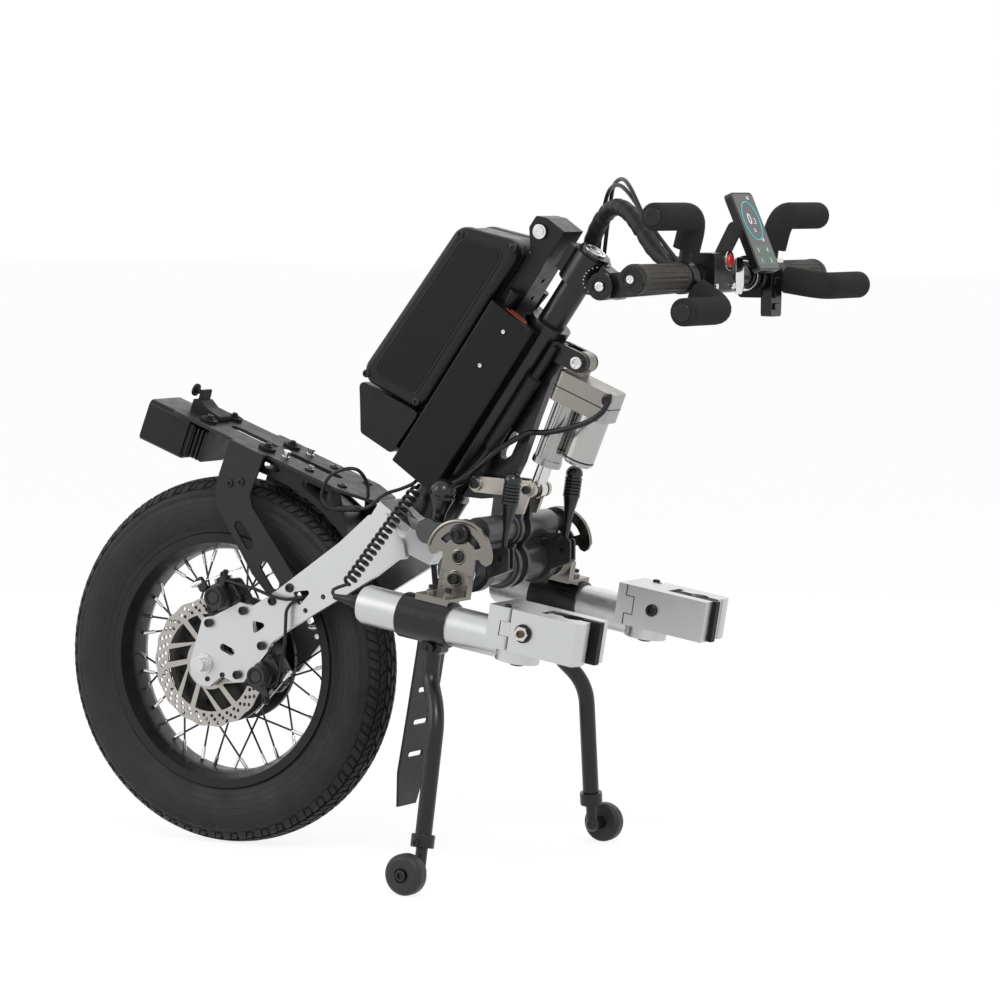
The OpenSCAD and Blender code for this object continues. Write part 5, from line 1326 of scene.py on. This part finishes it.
@dataclass
class Beam:
    """Welded cross beam with its crank, width clamps, telescopic arms, levers and angle plates."""

    ticks: int = 7
    cap_r: float = 44.0
    slot_r: float = 27.07
    slot_half: float = 4.6
    lock_bolt: Pair = (-394.0, 183.0)

    def build(self) -> None:
        """Dress the beam's pieces and add bolts and the angle plates' scale."""
        softened("cross_beam", BEAM_GREY, 0.001)
        softened("crank_bars", CRANK_BEIGE, 0.0008)
        softened("width_clamps", CLAMP_GREY, 0.001)
        for _, name in SIDES:
            inner = softened("inner_arm_" + name, BEAM_GREY, 0.0008)
            heights = [v.co.z for v in inner.data.vertices]
            middle = (min(heights) + max(heights)) / 2
            repaint(inner, CHROME, lambda p: p.z < middle)
            softened("width_lever_" + name, LEVER_BLACK, 0.0003)
        softened("angle_lever", LEVER_BLACK, 0.0003)
        self.bolts()
        for side, name in SIDES:
            self.angle_plate(side, name)
            self.scale_marks(side, name)

    def bolts(self) -> None:
        """Set the bolts of the crank, beam flanges and angle plates, and a dark button as painted shade in each pivot
        hole.
        """
        pins = ((-427, 24.6, 230.5), (-356, 24.6, 234.5), (-403, 23.6, 210.5))
        Fasteners("crank_bolts", "beam", [(Head.SOCKET, spot(x, side * y, z), LEFT * side, 0.0052)
                                          for side, _ in SIDES for x, y, z in pins]).build()
        for side, name in SIDES:
            # The dark button at PLATE_PIVOT is painted shade: it darkens the pivot hole over the silver pin.
            upper = ((Head.SOCKET, self.lock_bolt, 135.3, 0.0062), (Head.BUTTON, self.lock_bolt, 126.3, 0.0122),
                     (Head.BUTTON, PLATE_PIVOT, 125.6, 0.0076))
            Fasteners("angle_bolts_" + name, "arm_" + name, [(head, spot(x, side * y, z), LEFT * side, radius)
                                                             for head, (x, z), y, radius in upper]).build()
            lower = [(Head.SOCKET, clamp_spot(0, 129.3, -26, side), LEFT * side, 0.0066)]
            lower += [(Head.SOCKET, clamp_spot(x, 159, -37.6, side), CLAMP_UP, 0.0045) for x in (-11, 11)]
            Fasteners("plate_bolts_" + name, "clamp_" + name, lower).build()

    def angle_plate(self, side: int, name: str) -> None:
        """Model the mushroom-shaped head of an angle plate, with its bent rim, curved slot and pivot hole.

        Args:
            side: 1 for the left plate, -1 for the right one.
            name: The side's name.
        """

        def solid(outline: Sequence[Pair], y: float, thick: float) -> Obj:
            """Return a plate of the given outline, that begins at y and goes outwards."""
            return outline_solid([clamp_spot(x, y, z, side) for x, z in outline], Vector((0, side * thick, 0)))

        foot = softened("angle_plate_" + name, STAINLESS, 0)
        cut_away(foot, [solid(((-60, -18), (60, -18), (60, 60), (-60, 60)), 115, 0.03)])
        crown = arc(self.cap_r, range(8, 173, 4))
        lobe = [(-self.cap_r + 2, 0), (-37, -4), (-31, -2.5), (-27, 2), (-22, 1), (-22, -19)]
        cap = solid(crown + lobe + [(-x, z) for x, z in reversed(lobe)], 122, 0.004)
        slot = arc(self.slot_r + self.slot_half, range(30, 151, 6))
        slot += arc(self.slot_r - self.slot_half, range(148, 30, -6))
        cut_away(cap, [solid(slot, 118, 0.012), cylinder(clamp_spot(0, 118, 0, side), LEFT * side, 0.012, 0.0081, 40)])
        round_edges(cap, 0.0005, 2, 40)
        rim = tube_mesh("rim", [clamp_spot(x * 0.965, 126.2, z * 0.965, side) for x, z in crown], 0.0046)
        rings = [tube_mesh("ring", [clamp_spot(x, 126, drop + z, side) for x, z in arc(r, range(0, 376, 15))], 0.0018,
                           sides=2) for r, drop in ((8.8, 0), (9.4, -26))]
        fit(join([cap, rim, *rings], "angle_cap_" + name), STAINLESS, "clamp_" + name,
            ["angle_plate_" + name], 35)

    def scale_marks(self, side: int, name: str) -> None:
        """Engrave the short scale lines on an angle plate.

        Args:
            side: 1 for the left plate, -1 for the right one.
            name: The side's name.
        """
        marks = []
        for edge in (-1, 1):
            for k in range(self.ticks):
                x0, z0 = edge * 20.5, -20 - 3 * k
                x1, z1 = x0 - edge * (5.5 if k % 3 == 0 else 3.5), z0 - 0.6
                corners = [clamp_spot(x, 126, z, side) for x, z in ((x0, z0), (x1, z0), (x1, z1), (x0, z1))]
                marks.append(outline_solid(corners, Vector((0, side * 0.00008, 0))))
        fit(join(marks, "scale_marks_" + name), DARK_BOLT, "clamp_" + name, angle=0)


@dataclass
class Clamps:
    """Two silver clamps with hinged jaws and rubber pads that grip the wheelchair's tubes."""

    nut_r: float = 0.0125
    recess_shade_y: float = 0.1984
    nut_y: float = 0.2007
    seam: tuple[Pair, ...] = ((-100, -31.8), (-100, -45), (-111, -45), (-111, -67), (-100, -67), (-100, -80.8))

    def build(self) -> None:
        """Dress the clamps, jaws and pads, and add their pivots, joint lines and the lead's boot."""
        x, z = JAW_BOLT
        for side, name in SIDES:
            softened("clamp_" + name, SILVER_ALLOY, 0.0014)
            jaw = softened("jaw_" + name, SILVER_ALLOY, 0.0014)
            core = clamp_spot(x, 205.3, z, side)
            # The jaw's faces at the nut's foot are painted dark: painted shade of the recess that the nut sits in.
            for finish, start in ((DARK_BOLT, self.recess_shade_y), (BOLT_STEEL, self.nut_y)):
                repaint(jaw, finish, lambda p: abs(p.y) > start and (p - core).xz.length < self.nut_r)
            softened("pad_" + name, PAD_RUBBER, 0.0008)
            Fasteners("jaw_nut_" + name, "jaw_" + name,
                      [(Head.SOCKET, clamp_spot(x, 204, z, side), LEFT * side, 0.0045)], NUT_CORE).build()
            Fasteners("hinge_pin_" + name, "clamp_" + name, [
                (Head.BUTTON, clamp_spot(-108, 189, -31.2, side), CLAMP_UP, 0.0046),
                (Head.BUTTON, clamp_spot(-116, 163, -96.6, side), -CLAMP_UP, 0.009),
                (Head.BUTTON, clamp_spot(x, 128.2, z, side), LEFT * -side, 0.0076)]).build()
            line = [clamp_spot(along, 127.9, up, side) for along, up in self.seam]
            seam = tube_mesh("clamp_seam_" + name, line, 0.0014, sides=1)
            fit(seam, RIM_ALLOY, "clamp_" + name, angle=0)
        self.boot()

    def boot(self) -> None:
        """Model the stepped boot where the coiled lead enters the left clamp's tube."""
        line = [clamp_spot(x, *CLAMP_TUBE) for x in (98, 104, 104.5, 110, 110.5, 116, 124, 132, 138)]
        radii = (0.95, 0.95, 0.82, 0.82, 0.7, 0.66, 0.5, 0.4, 0.34)
        fit(tube_mesh("lead_boot", line, 0.02, radii, 5), CABLE_SHEATH, "clamp_left", angle=0)


@dataclass
class Legs:
    """Two bent stands that hang from the clamps, with telescopic feet and rollers."""

    top: Point = (-380, 161, 284)
    knee: Point = (-372, 157, 244)
    bend: Point = (-399, 186, 205)
    end: Point = (-395, 212, 52)
    tube: float = 0.02
    band_x: float = 7.0
    band_r: float = 0.0268
    lug: tuple[Pair, ...] = ((-20, -97), (8, -97), (8, -107), (4, -111), (-16, -111), (-20, -107))

    def build(self) -> None:
        """Model both legs and dress their feet and rollers."""
        for side, name in SIDES:
            self.leg(side, name)
            softened("foot_" + name, POWDER_BLACK, 0.0004)
            softened("roller_" + name, ROLLER_GREY, 0.0004)
            low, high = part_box("foot_" + name)
            middle = (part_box("roller_" + name)[0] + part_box("roller_" + name)[1]) / 2
            face = high.y if side > 0 else low.y
            seat = Vector((middle.x, face - side * 0.0015, middle.z))
            Fasteners("roller_cap_" + name, "foot_" + name, [(Head.BUTTON, seat, LEFT * side, 0.0068)]).build()

    def ground_spot(self, place: Vector, side: int) -> Vector:
        """Return a point given in millimetres from the ground, on one side."""
        return spot(place.x, side * place.y, place.z - AXLE_Z)

    def leg(self, side: int, name: str) -> None:
        """Model one leg: a band on the clamp's tube, a bent tube and a collar.

        Args:
            side: 1 for the left leg, -1 for the right one.
            name: The side's name.
        """
        top, knee, turn, end = (Vector(p) for p in (self.top, self.knee, self.bend, self.end))
        line = [top]
        for before, here, after, trim in ((top, knee, turn, 17), (knee, turn, end, 26)):
            a, b = (here + (other - here).normalized() * trim for other in (before, after))
            line += bend(a, here, b, 10)
        tube = tube_mesh("leg", [self.ground_spot(p, side) for p in [*line, end]], self.tube, sides=6)
        down = (end - turn).normalized()
        start, stop = self.ground_spot(end - 15 * down, side), self.ground_spot(end + down, side)
        collar = round_edges(cylinder(start, stop - start, (stop - start).length, 0.014, 40), 0.0012)
        band = open_ring(clamp_spot(self.band_x, *CLAMP_TUBE, side), CLAMP_AHEAD, 0.066, self.band_r, 0.003, 64)
        lug = outline_solid([clamp_spot(x, 153, z, side) for x, z in self.lug], Vector((0, side * 0.02, 0)))
        obj = join([tube, collar, band, round_edges(lug, 0.0012)], "leg_%s_piece" % name)
        fit(obj, POWDER_BLACK, "clamp_" + name, ["leg_" + name], 35)
        Fasteners("leg_bolts_" + name, "clamp_" + name, [
            (Head.SOCKET, clamp_spot(-6, 173, -104, side), LEFT * side, 0.0058),
            (Head.SOCKET, self.ground_spot(end - 7 * down + Vector((0, 13.4, 0)), side), LEFT * side, 0.004)]).build()


@dataclass
class Handlebar:
    """Handlebar on its folding arm, with grips, display, switches, button and the two foam L handles."""

    hub: Pair = (106, 124)
    reach: float = 222.0
    foam: float = 32.0
    up_corner: Pair = (-690, 559.5)
    low_left: Pair = (-728, 453.5)
    low_right: Pair = (-745, 477.5)
    display_mid: Pair = (-703.5, 538.5)
    display_lean: float = math.radians(24)
    digits: tuple[tuple[str, float, float, float], ...] = (
        ("0", -9, 9, 19), (".3", 3, 9, 10), ("25", -4, -1, 6), ("64", 8, -13, 6), ("1", -14, -39, 7),
        ("2", 10, -39, 7), ("3", -14, -26, 7), ("4", 10, -26, 7), ("88", 8, 39.5, 6))

    def build(self) -> None:
        """Dress the bar and model its handles, screen and clamps."""
        softened("stem_arm", POWDER_BLACK, 0.0016)
        softened("handlebar", BLACK_ALLOY, 0.001)
        softened("grips", GRIP_RUBBER, 0.0005)
        softened("display", GLOSS_BLACK, 0.0012)
        softened("control_pods", BLACK_PLASTIC, 0.0016)
        softened("red_button", RED_PLASTIC, 0.0014)
        self.handle(1, "brake_handle", self.low_left, (-28, -24))
        self.handle(-1, "throttle_handle", self.low_right, (-36, -9))
        self.screen()
        self.fittings()
        self.switches()

    def bar_spot(self, y: float, ahead: float = 0, up: float = 0) -> Vector:
        """Return a point from the bar's centre line, given in millimetres."""
        return spot(BAR_SIDE[0] + ahead, y, BAR_SIDE[1] + up)

    def arm_line(self, corner: Pair, start: Pair, side: int, trim: float = 24) -> list[Vector]:
        """Give the centre line of one foam bar, with a rounded bend.

        Args:
            corner: Side-view place of the bend.
            start: Side-view place where the foam begins, from the bar.
            side: 1 for the left handle, -1 for the right one.
            trim: Millimetres that the bend takes from each run.

        Returns:
            Points in metres.
        """
        middle = sum(self.hub) / 2
        base = Vector((BAR_SIDE[0] + start[0], middle, BAR_SIDE[1] + start[1]))
        turn = Vector((corner[0], middle, corner[1]))
        end = Vector((corner[0], self.reach - 2, corner[1]))
        a = turn + (base - turn).normalized() * min(trim, (base - turn).length * 0.8)
        b = turn + (end - turn).normalized() * trim
        line = [base, *bend(a, turn, b, 14)]
        line += [b + (end - b) * k / 6 for k in range(1, 6)]
        line += [end - Vector((0, 2.5, 0)), end - Vector((0, 0.8, 0)), end]
        return [spot(p.x, side * p.y, p.z) for p in line]

    def handle(self, side: int, node: str, low: Pair, low_start: Pair) -> None:
        """Model one handle: a turning hub with two rods, and a foam sleeve with an end plug on each.

        Args:
            side: 1 for the left handle, -1 for the right one.
            node: The CAD node that it stands for.
            low: Side-view place of the lower bend.
            low_start: Where the lower foam begins, from the bar.
        """
        out = LEFT * side
        steel = [round_edges(cylinder(self.bar_spot(side * self.hub[0]), out, 0.018, 0.019, 48), 0.0015, 3)]
        plugs, foams = [], []
        for name, corner, (x, z), share in (("upper", self.up_corner, (-4, 32), 1), ("lower", low, low_start, 0.62)):
            line = self.arm_line(corner, (x * share, z * share), side)
            radii = [1.0] * (len(line) - 2) + [0.95, 0.84]
            foams.append(tube_mesh("%s_foam_%s" % (node, name), line, self.foam / 1000, radii, 8))
            inward = self.bar_spot(side * sum(self.hub) / 2, x * 0.45, z * 0.45)
            rod = cylinder(inward, line[0] - inward, (line[0] - inward).length + 0.004, 0.0075, 24)
            steel.append(round_edges(rod, 0.001))
            plugs.append(round_edges(cylinder(line[-1] - out * 0.0006, out, 0.0026, 0.0105, 32), 0.002, 4))
        fit(join(steel, node + "_hub"), BLACK_PLASTIC, node, [node])
        for foam in foams:
            fit(foam, FOAM, node, [node], 0)
        fit(join(plugs, node + "_plugs"), GLOSS_BLACK, node)

    def screen_spot(self, right: float, up: float, out: float) -> Vector:
        """Return a point on the display's front, in millimetres as the rider sees it."""
        c, s = math.cos(self.display_lean), math.sin(self.display_lean)
        return spot(self.display_mid[0] + up * s - out * c, -right, self.display_mid[1] + up * c + out * s)

    def screen(self) -> None:
        """Model the display's glass with its ring, digits and key area."""
        look = (self.screen_spot(0, 0, 1) - self.screen_spot(0, 0, 0)).normalized()
        rise = (self.screen_spot(0, 1, 0) - self.screen_spot(0, 0, 0)).normalized()
        edge = rounded_outline([(-26.5, -46.5), (26.5, -46.5), (26.5, 46.5), (-26.5, 46.5)], 5)
        glass = round_edges(outline_solid([self.screen_spot(x, y, 8.9) for x, y in edge], look * 0.0007), 0.0004)
        fit(settle(glass, "display_glass"), SCREEN_GLASS, "bar")
        ring = [self.screen_spot(20 * x, 13 + 24 * y, 9.7) for x, y in arc(1, [360 * k / 48 for k in range(49)])]
        fit(tube_mesh("display_ring", ring, 0.0013, sides=2), SCREEN_TEAL, "bar", angle=0)
        key = ((0, 0), (22, 0), (22, 11), (0, 11))
        keys = [outline_solid([self.screen_spot(x + dx, y + dy, 9.55) for dx, dy in key], look * 0.0002)
                for x in (-23.5, 1.5) for y in (-42, -29)]
        pad = join([round_edges(piece, 0.0001, 1) for piece in keys], "display_keys")
        fit(pad, KEYPAD_GREEN, "bar", angle=0)
        digits = []
        for text, x, y, size in self.digits:
            clear_selection()
            bpy.ops.object.text_add()
            obj = bpy.context.object
            obj.data.body = text
            obj.data.size = size / 1000
            obj.data.extrude = 0.00008
            bpy.ops.object.convert(target="MESH")
            obj.matrix_world = Matrix.Translation(self.screen_spot(x, y, 9.85)) @ facing(look, rise)
            digits.append(obj)
        fit(join(digits, "display_digits"), SCREEN_WHITE, "bar", angle=0)

    def fittings(self) -> None:
        """Add the bar's plated clamps, end bolts and button bezel, and the stem's pivot bolt."""
        rows = []
        for side, name in SIDES:
            pivot = column_spot(STEM_PIVOT[0], side * 27.4, STEM_PIVOT[1])
            rows += [(Head.SOCKET, self.bar_spot(side * 243.2), LEFT * side, 0.0048),
                     (Head.BUTTON, pivot, LEFT * side, 0.006)]
            self.end_rings(side, name)
        rows += [(Head.SOCKET, self.bar_spot(95.5, x, z), LEFT, 0.0046) for x, z in ((18, 10), (19.5, -3))]
        rows += [(Head.SOCKET, self.bar_spot(y, x, z), BACK, 0.0034)
                 for y, x, z in ((36, -24.2, -10), (80, -24.2, -10), (-62, -20, -18), (-88, -20, -18))]
        Fasteners("bar_bolts", "bar", rows, CHROME, "lock_steel").build()
        rings = [open_ring(self.bar_spot(y + width / 2), LEFT, width / 1000, 0.0182, 0.006, 48)
                 for y, width in ((22, 4), (33.6, 1.6), (-54, 9))]
        fit(join(rings, "bar_rings"), CHROME, "bar")
        bezel = cylinder(self.bar_spot(44, -23.8, 19), BACK, 0.0014, 0.0115, 40)
        round_edges(press(bezel, BACK, (0.0035, -0.001)), 0.0004)
        fit(settle(bezel, "button_bezel"), CHROME, "bar")

    def end_rings(self, side: int, name: str) -> None:
        """Model the black ring on a grip's end and the stepped washer on the stem's pivot.

        Args:
            side: 1 for the left side, -1 for the right one.
            name: The side's name.
        """
        out = LEFT * side
        pieces = []
        for base, radius in ((self.bar_spot(side * 241.8), 0.0155),
                             (column_spot(STEM_PIVOT[0], side * 24.6, STEM_PIVOT[1]), 0.0165)):
            ring = press(cylinder(base, out, 0.003, radius, 48), out, (radius * 0.38, -0.0014))
            pieces.append(round_edges(ring, 0.0008, 3))
        fit(join(pieces, "end_rings_" + name), GLOSS_BLACK, "bar")

    def plate(self, outline: Sequence[Pair], corner: float, x: float, thick: float) -> Obj:
        """Model a plate across the bar that faces the rider.

        Args:
            outline: Its corners across the bar and above it.
            corner: Radius of its corners.
            x: Where its front face is.
            thick: Its thickness.

        Returns:
            The plate.
        """
        points = [spot(x, y, BAR_SIDE[1] + z) for y, z in rounded_outline(outline, corner)]
        return round_edges(outline_solid(points, Vector((thick / 1000, 0, 0))), 0.0006)

    def switches(self) -> None:
        """Model the plated carrier beside the red button, the switch block on the right and the cables' ferrules."""
        carrier = self.plate(((30, -20), (14, -20), (9, -10), (9, 14), (14, 23), (30, 23)), 3, -702.5, 2.5)
        edge = self.plate(((-57, 15), (-86, 15), (-86, 20), (-57, 20)), 1.5, -708, 18)
        ferrules = [tube_mesh("ferrule", [spot(*route[-2]).lerp(spot(*route[-1]), w) for w in (-0.6, 0.1, 0.12, 0.9)],
                              0.0074, (0.82, 0.82, 1, 1)) for route in Cords.cable_routes]
        fit(join([carrier, edge, *ferrules], "bar_plated_trim"), CHROME, "bar")
        block = self.plate(((-58, -48), (-86, -48), (-88, 14), (-58, 14)), 4, -706, 14)
        keys = [self.plate(((-64, z), (-80, z), (-80, z + 8), (-64, z + 8)), 2, -708.5, 3) for z in (-40, -26, -10)]
        fit(join([block, *keys], "bar_switch_block"), GLOSS_BLACK, "bar")


@dataclass
class Cords:
    """The coiled lead, the lamp lead, the wiring loom, the actuator lead, and the bar's sleeve and cables."""

    coil_from: Point = (-254, 150, 118)
    coil_to: Point = (-284, 38, 228)
    coil_turns: int = 18
    coil_r: float = 6.0
    turn_steps: int = 16
    lamp_route: tuple[Point, ...] = (
        (-211, 30, 212), (-212, 34, 230), (-208, 48, 246), (-195, 56, 248), (-172, 56, 238), (-161, 56, 217),
        (-165, 56, 204), (-178, 56, 199), (-200, 56, 199), (-220, 56, 201), (-232, 56, 206), (-241, 56, 214),
        (-252, 54, 221), (-266, 47, 226), (-278, 40, 232), (-283.5, 35, 238))
    actuator_route: tuple[Point, ...] = (
        (-537, 25.5, 348), (-536, 29, 337), (-529, 33, 325), (-510, 34, 314), (-480, 32, 305), (-450, 24, 300),
        (-424, 15, 298), (-405, 22, 288), (-389, 31, 276), (-370, 34, 259), (-352, 34, 245))
    sleeve_route: tuple[Point, ...] = (
        (-470, -34, 470), (-474, -35, 500), (-483, -32, 530), (-503, -20, 556), (-528, -4, 568), (-555, 14, 561),
        (-580, 30, 541), (-605, 43, 518), (-634, 53, 503), (-662, 55, 501))
    cable_routes: tuple[tuple[Point, ...], ...] = (
        ((-484, -37, 478), (-486, -38, 505), (-490, -37, 535), (-499, -28, 566), (-516, -9, 588), (-540, 14, 594),
         (-566, 37, 584), (-594, 55, 560), (-620, 64, 534), (-642, 69, 512), (-655, 75, 502), (-658, 82.6, 499.5)),
        ((-489, -42, 478), (-491, -44, 505), (-495, -43, 536), (-504, -34, 569), (-520, -13, 594), (-544, 12, 601),
         (-568, 38, 591), (-594, 60, 564), (-620, 71, 530), (-641, 74, 503), (-654, 77, 489), (-656.5, 82.6, 486.5)))
    loom_route: tuple[Point, ...] = (
        (-28, 20.5, 446), (-28, 22, 430), (-28, 28, 414), (-27, 34, 400), (-23, 38, 388), (-16, 39.5, 379),
        (-7.2, 40, 377))

    def build(self) -> None:
        """Lay every cord."""
        self.coil()
        lay_cord("lamp_lead", smooth_path(self.lamp_route, 4), 0.0044, ("steering", "frame"), ["lamp_cord"])
        self.lamp_joint()
        lay_cord("actuator_lead", smooth_path(self.actuator_route, 4), 0.007, ("frame",), ["wiring_loom"])
        self.loom()
        line = smooth_path(self.sleeve_route, 16)
        radii = [1 - 0.05 * (0.5 + 0.5 * math.cos(k * 0.9)) - (0.16 if k % 48 in (0, 1, 2) else 0)
                 for k in range(len(line))]
        self.in_two("bar_sleeve", line, 0.021, 66, radii=radii, finish=SLEEVE_CLOTH)
        for i, route in enumerate(self.cable_routes):
            self.in_two("bar_cable_%d" % (i + 1), smooth_path(route, 5), 0.005, 27)

    def in_two(self, name: str, line: list[Vector], diameter: float, cut: int, radii: Sequence[float] | None = None,
               finish: Finish = CABLE_SHEATH) -> None:
        """Lay a cord that crosses the steering and the stem's joint as two halves that overlap by two points.

        Args:
            name: The upper half's name.
            line: The centre line of both.
            diameter: Their diameter in metres.
            cut: Number of points of the lower half.
            radii: Share of the radius at each point.
            finish: Their finish.
        """
        for label, bodies, part in ((name + "_low", ("frame", "steering"), slice(cut)),
                                    (name, ("steering", "bar"), slice(cut - 2, None))):
            lay_cord(label, line[part], diameter, bodies, ["handlebar_cables"], radii=radii and radii[part],
                     finish=finish)

    def coil(self) -> None:
        """Wind the retractile lead from the left clamp's boot up to the frame."""
        a, b = Vector(self.coil_from), Vector(self.coil_to)
        axis = (b - a).normalized()
        u = axis.cross(UP).normalized()
        v = axis.cross(u)
        steps = self.coil_turns * self.turn_steps
        line = [clamp_spot(x, *CLAMP_TUBE) for x in (122, 130)]
        line += [spot(*p) for p in ((-244, 163, 105), (-240.5, 161.5, 108.5), (-241, 160, 112), (-246, 156, 115))]
        for k in range(steps + 1):
            fade = min(1, min(k, steps - k) / 8)
            turn = 2 * math.pi * k / self.turn_steps
            p = a + (b - a) * k / steps + (u * math.cos(turn) + v * math.sin(turn)) * self.coil_r * fade
            line.append(spot(*p))
        line.append(spot(*(b + 5 * axis)))
        lay_cord("coiled_lead", line, 0.0044, ("beam", "frame"), ["coil_cord"], sides=2)

    def lamp_joint(self) -> None:
        """Model the moulded plug joint on the lamp's lead."""
        a, b = spot(-180, 56, 199), spot(-217, 56, 200.6)
        radii = (0.55, 0.8, 1, 1, 0.92, 1, 0.86, 1, 0.92, 1, 1, 0.8, 0.55)
        obj = tube_mesh("lamp_plug_joint", [a + (b - a) * k / 12 for k in range(13)], 0.0082, radii, 4)
        fit(obj, BLACK_PLASTIC, "steering", ["lamp_cord"], 0)

    def loom(self) -> None:
        """Model the loom behind the head tube: a grommet, a joint ring and a hose down to the box."""
        lay_cord("loom_hose", smooth_path(self.loom_route, 4, column_spot), 0.011, ("frame",), ["wiring_loom"])
        stations = (440, 446, 470, 500, 536, 539, 540, 546, 546.5, 552, 580, 588, 592)
        radii = (0.72, 0.95, 0.92, 0.95, 0.95, 1, 1, 1, 0.62, 0.58, 0.58, 0.55, 0.4)
        obj = tube_mesh("loom_grommet", [column_spot(-28, 20.5, s) for s in stations], 0.0188, radii, 5)
        fit(obj, SLEEVE_CLOTH, "frame", ["wiring_loom"], 0)


@dataclass
class Studio:
    """Camera at the photograph's place, soft lights and a pale floor."""

    eye: Point = (-2924.3, 4625.4, 604.6)
    right: Point = (-0.87557, -0.48297, 0.00975)
    rise: Point = (0.04406, -0.05975, 0.99722)
    ahead: Point = (0.48105, -0.87359, -0.07359)
    lens: float = 158.63
    sky: float = 0.42
    floor_glow: float = 1.2
    floor_share: float = 0.72
    lamps: tuple[tuple[str, Point, Point, float, float], ...] = (
        ("key_light", (-1.6, 2.2, 2.8), (0, 0, 0.35), 1.2, 46), ("fill_light", (1.9, 1.8, 1.6), (0, 0, 0.35), 1.4, 18),
        ("back_light", (0.4, -2.4, 2.4), (0, 0, 0.4), 2.4, 9))

    def camera(self) -> None:
        """Set the camera."""
        data = bpy.data.cameras.new("camera")
        data.sensor_width = 36
        data.sensor_fit = "HORIZONTAL"
        data.lens = self.lens
        data.clip_end = 100
        obj = link_new("camera", data)
        turn = Matrix((self.right, self.rise, [-v for v in self.ahead])).transposed().to_4x4()
        obj.matrix_world = Matrix.Translation(spot(*self.eye)) @ turn
        bpy.context.scene.camera = obj

    def seen_white(self, tree: bpy.types.NodeTree, under: str, over: str, kind: str, values: dict, share: float,
                   out: str) -> None:
        """Show a white glow to the camera, to mirrors and through glass, over what lights the scene.

        Args:
            tree: The nodes of the world or a material.
            under: Output that lights the scene.
            over: The glow's name.
            kind: The glow's kind of node.
            values: Its input values.
            share: How much of the glow is seen.
            out: Input that takes the mixed result.
        """
        wire(tree, {over: (kind, values), "path": ("LightPath", {}), "mix": ("MixShader", {}),
                    "first": ("Math", {"operation": "MAXIMUM"}), "second": ("Math", {"operation": "MAXIMUM"}),
                    "share": ("Math", {"operation": "MULTIPLY", 1: share})},
             "path.Is_Camera_Ray first.0, path.Is_Glossy_Ray first.1, first.0 second.0, "
             "path.Is_Transmission_Ray second.1, second.0 share.0, share.0 mix.Fac, "
             f"{under} mix.1, {over}.0 mix.2, mix.0 {out}")

    def lights(self) -> None:
        """Light the object softly from above and both sides."""
        for name, place, aim, size, power in self.lamps:
            data = bpy.data.lights.new(name, "AREA")
            data.size = size
            data.energy = power
            link_new(name, data).matrix_world = Matrix.Translation(place) @ facing(Vector(place) - Vector(aim))
        world = bpy.data.worlds.new("studio_world")
        bpy.context.scene.world = world
        world.use_nodes = True
        soft = world.node_tree.nodes["Background"]
        soft.inputs["Color"].default_value = (1, 1, 1, 1)
        soft.inputs["Strength"].default_value = self.sky
        self.seen_white(world.node_tree, "Background.0", "seen", "Background",
                        {"Color": (1, 1, 1, 1), "Strength": 1.0}, 1.0, "World_Output.Surface")

    def floor(self) -> None:
        """Lay the pale floor, which shows soft shadows and otherwise meets the white background."""
        clear_selection()
        bpy.ops.mesh.primitive_plane_add(size=60, location=(0, 0, -0.0005))
        obj = settle(bpy.context.object, "floor")
        material = bpy.data.materials.new("pale_floor")
        material.use_nodes = True
        shader = material.node_tree.nodes["Principled BSDF"]
        shader.inputs["Base Color"].default_value = (0.86, 0.86, 0.86, 1)
        shader.inputs["Roughness"].default_value = 0.7
        shader.inputs["Specular IOR Level"].default_value = 0.1
        self.seen_white(material.node_tree, "Principled_BSDF.0", "glow", "Emission", {"Strength": self.floor_glow},
                        self.floor_share, "Material_Output.Surface")
        obj.data.materials.append(material)

    def build(self) -> None:
        """Set up the colours, the lights and the floor."""
        bpy.context.scene.view_settings.view_transform = "Standard"
        self.lights()
        self.floor()


def main() -> None:
    """Build the scene in order."""
    logging.basicConfig(level=logging.INFO, format="%(name)s: %(message)s")
    studio = Studio()
    studio.camera()
    Cords().build()
    for assembly in (Wheel(), Fork(), Rack(), Column(), Battery(), Lift(), Beam(), Clamps(), Legs(), Handlebar()):
        assembly.build()
    studio.build()
    clear_selection()


if __name__ == "__main__":
    main()
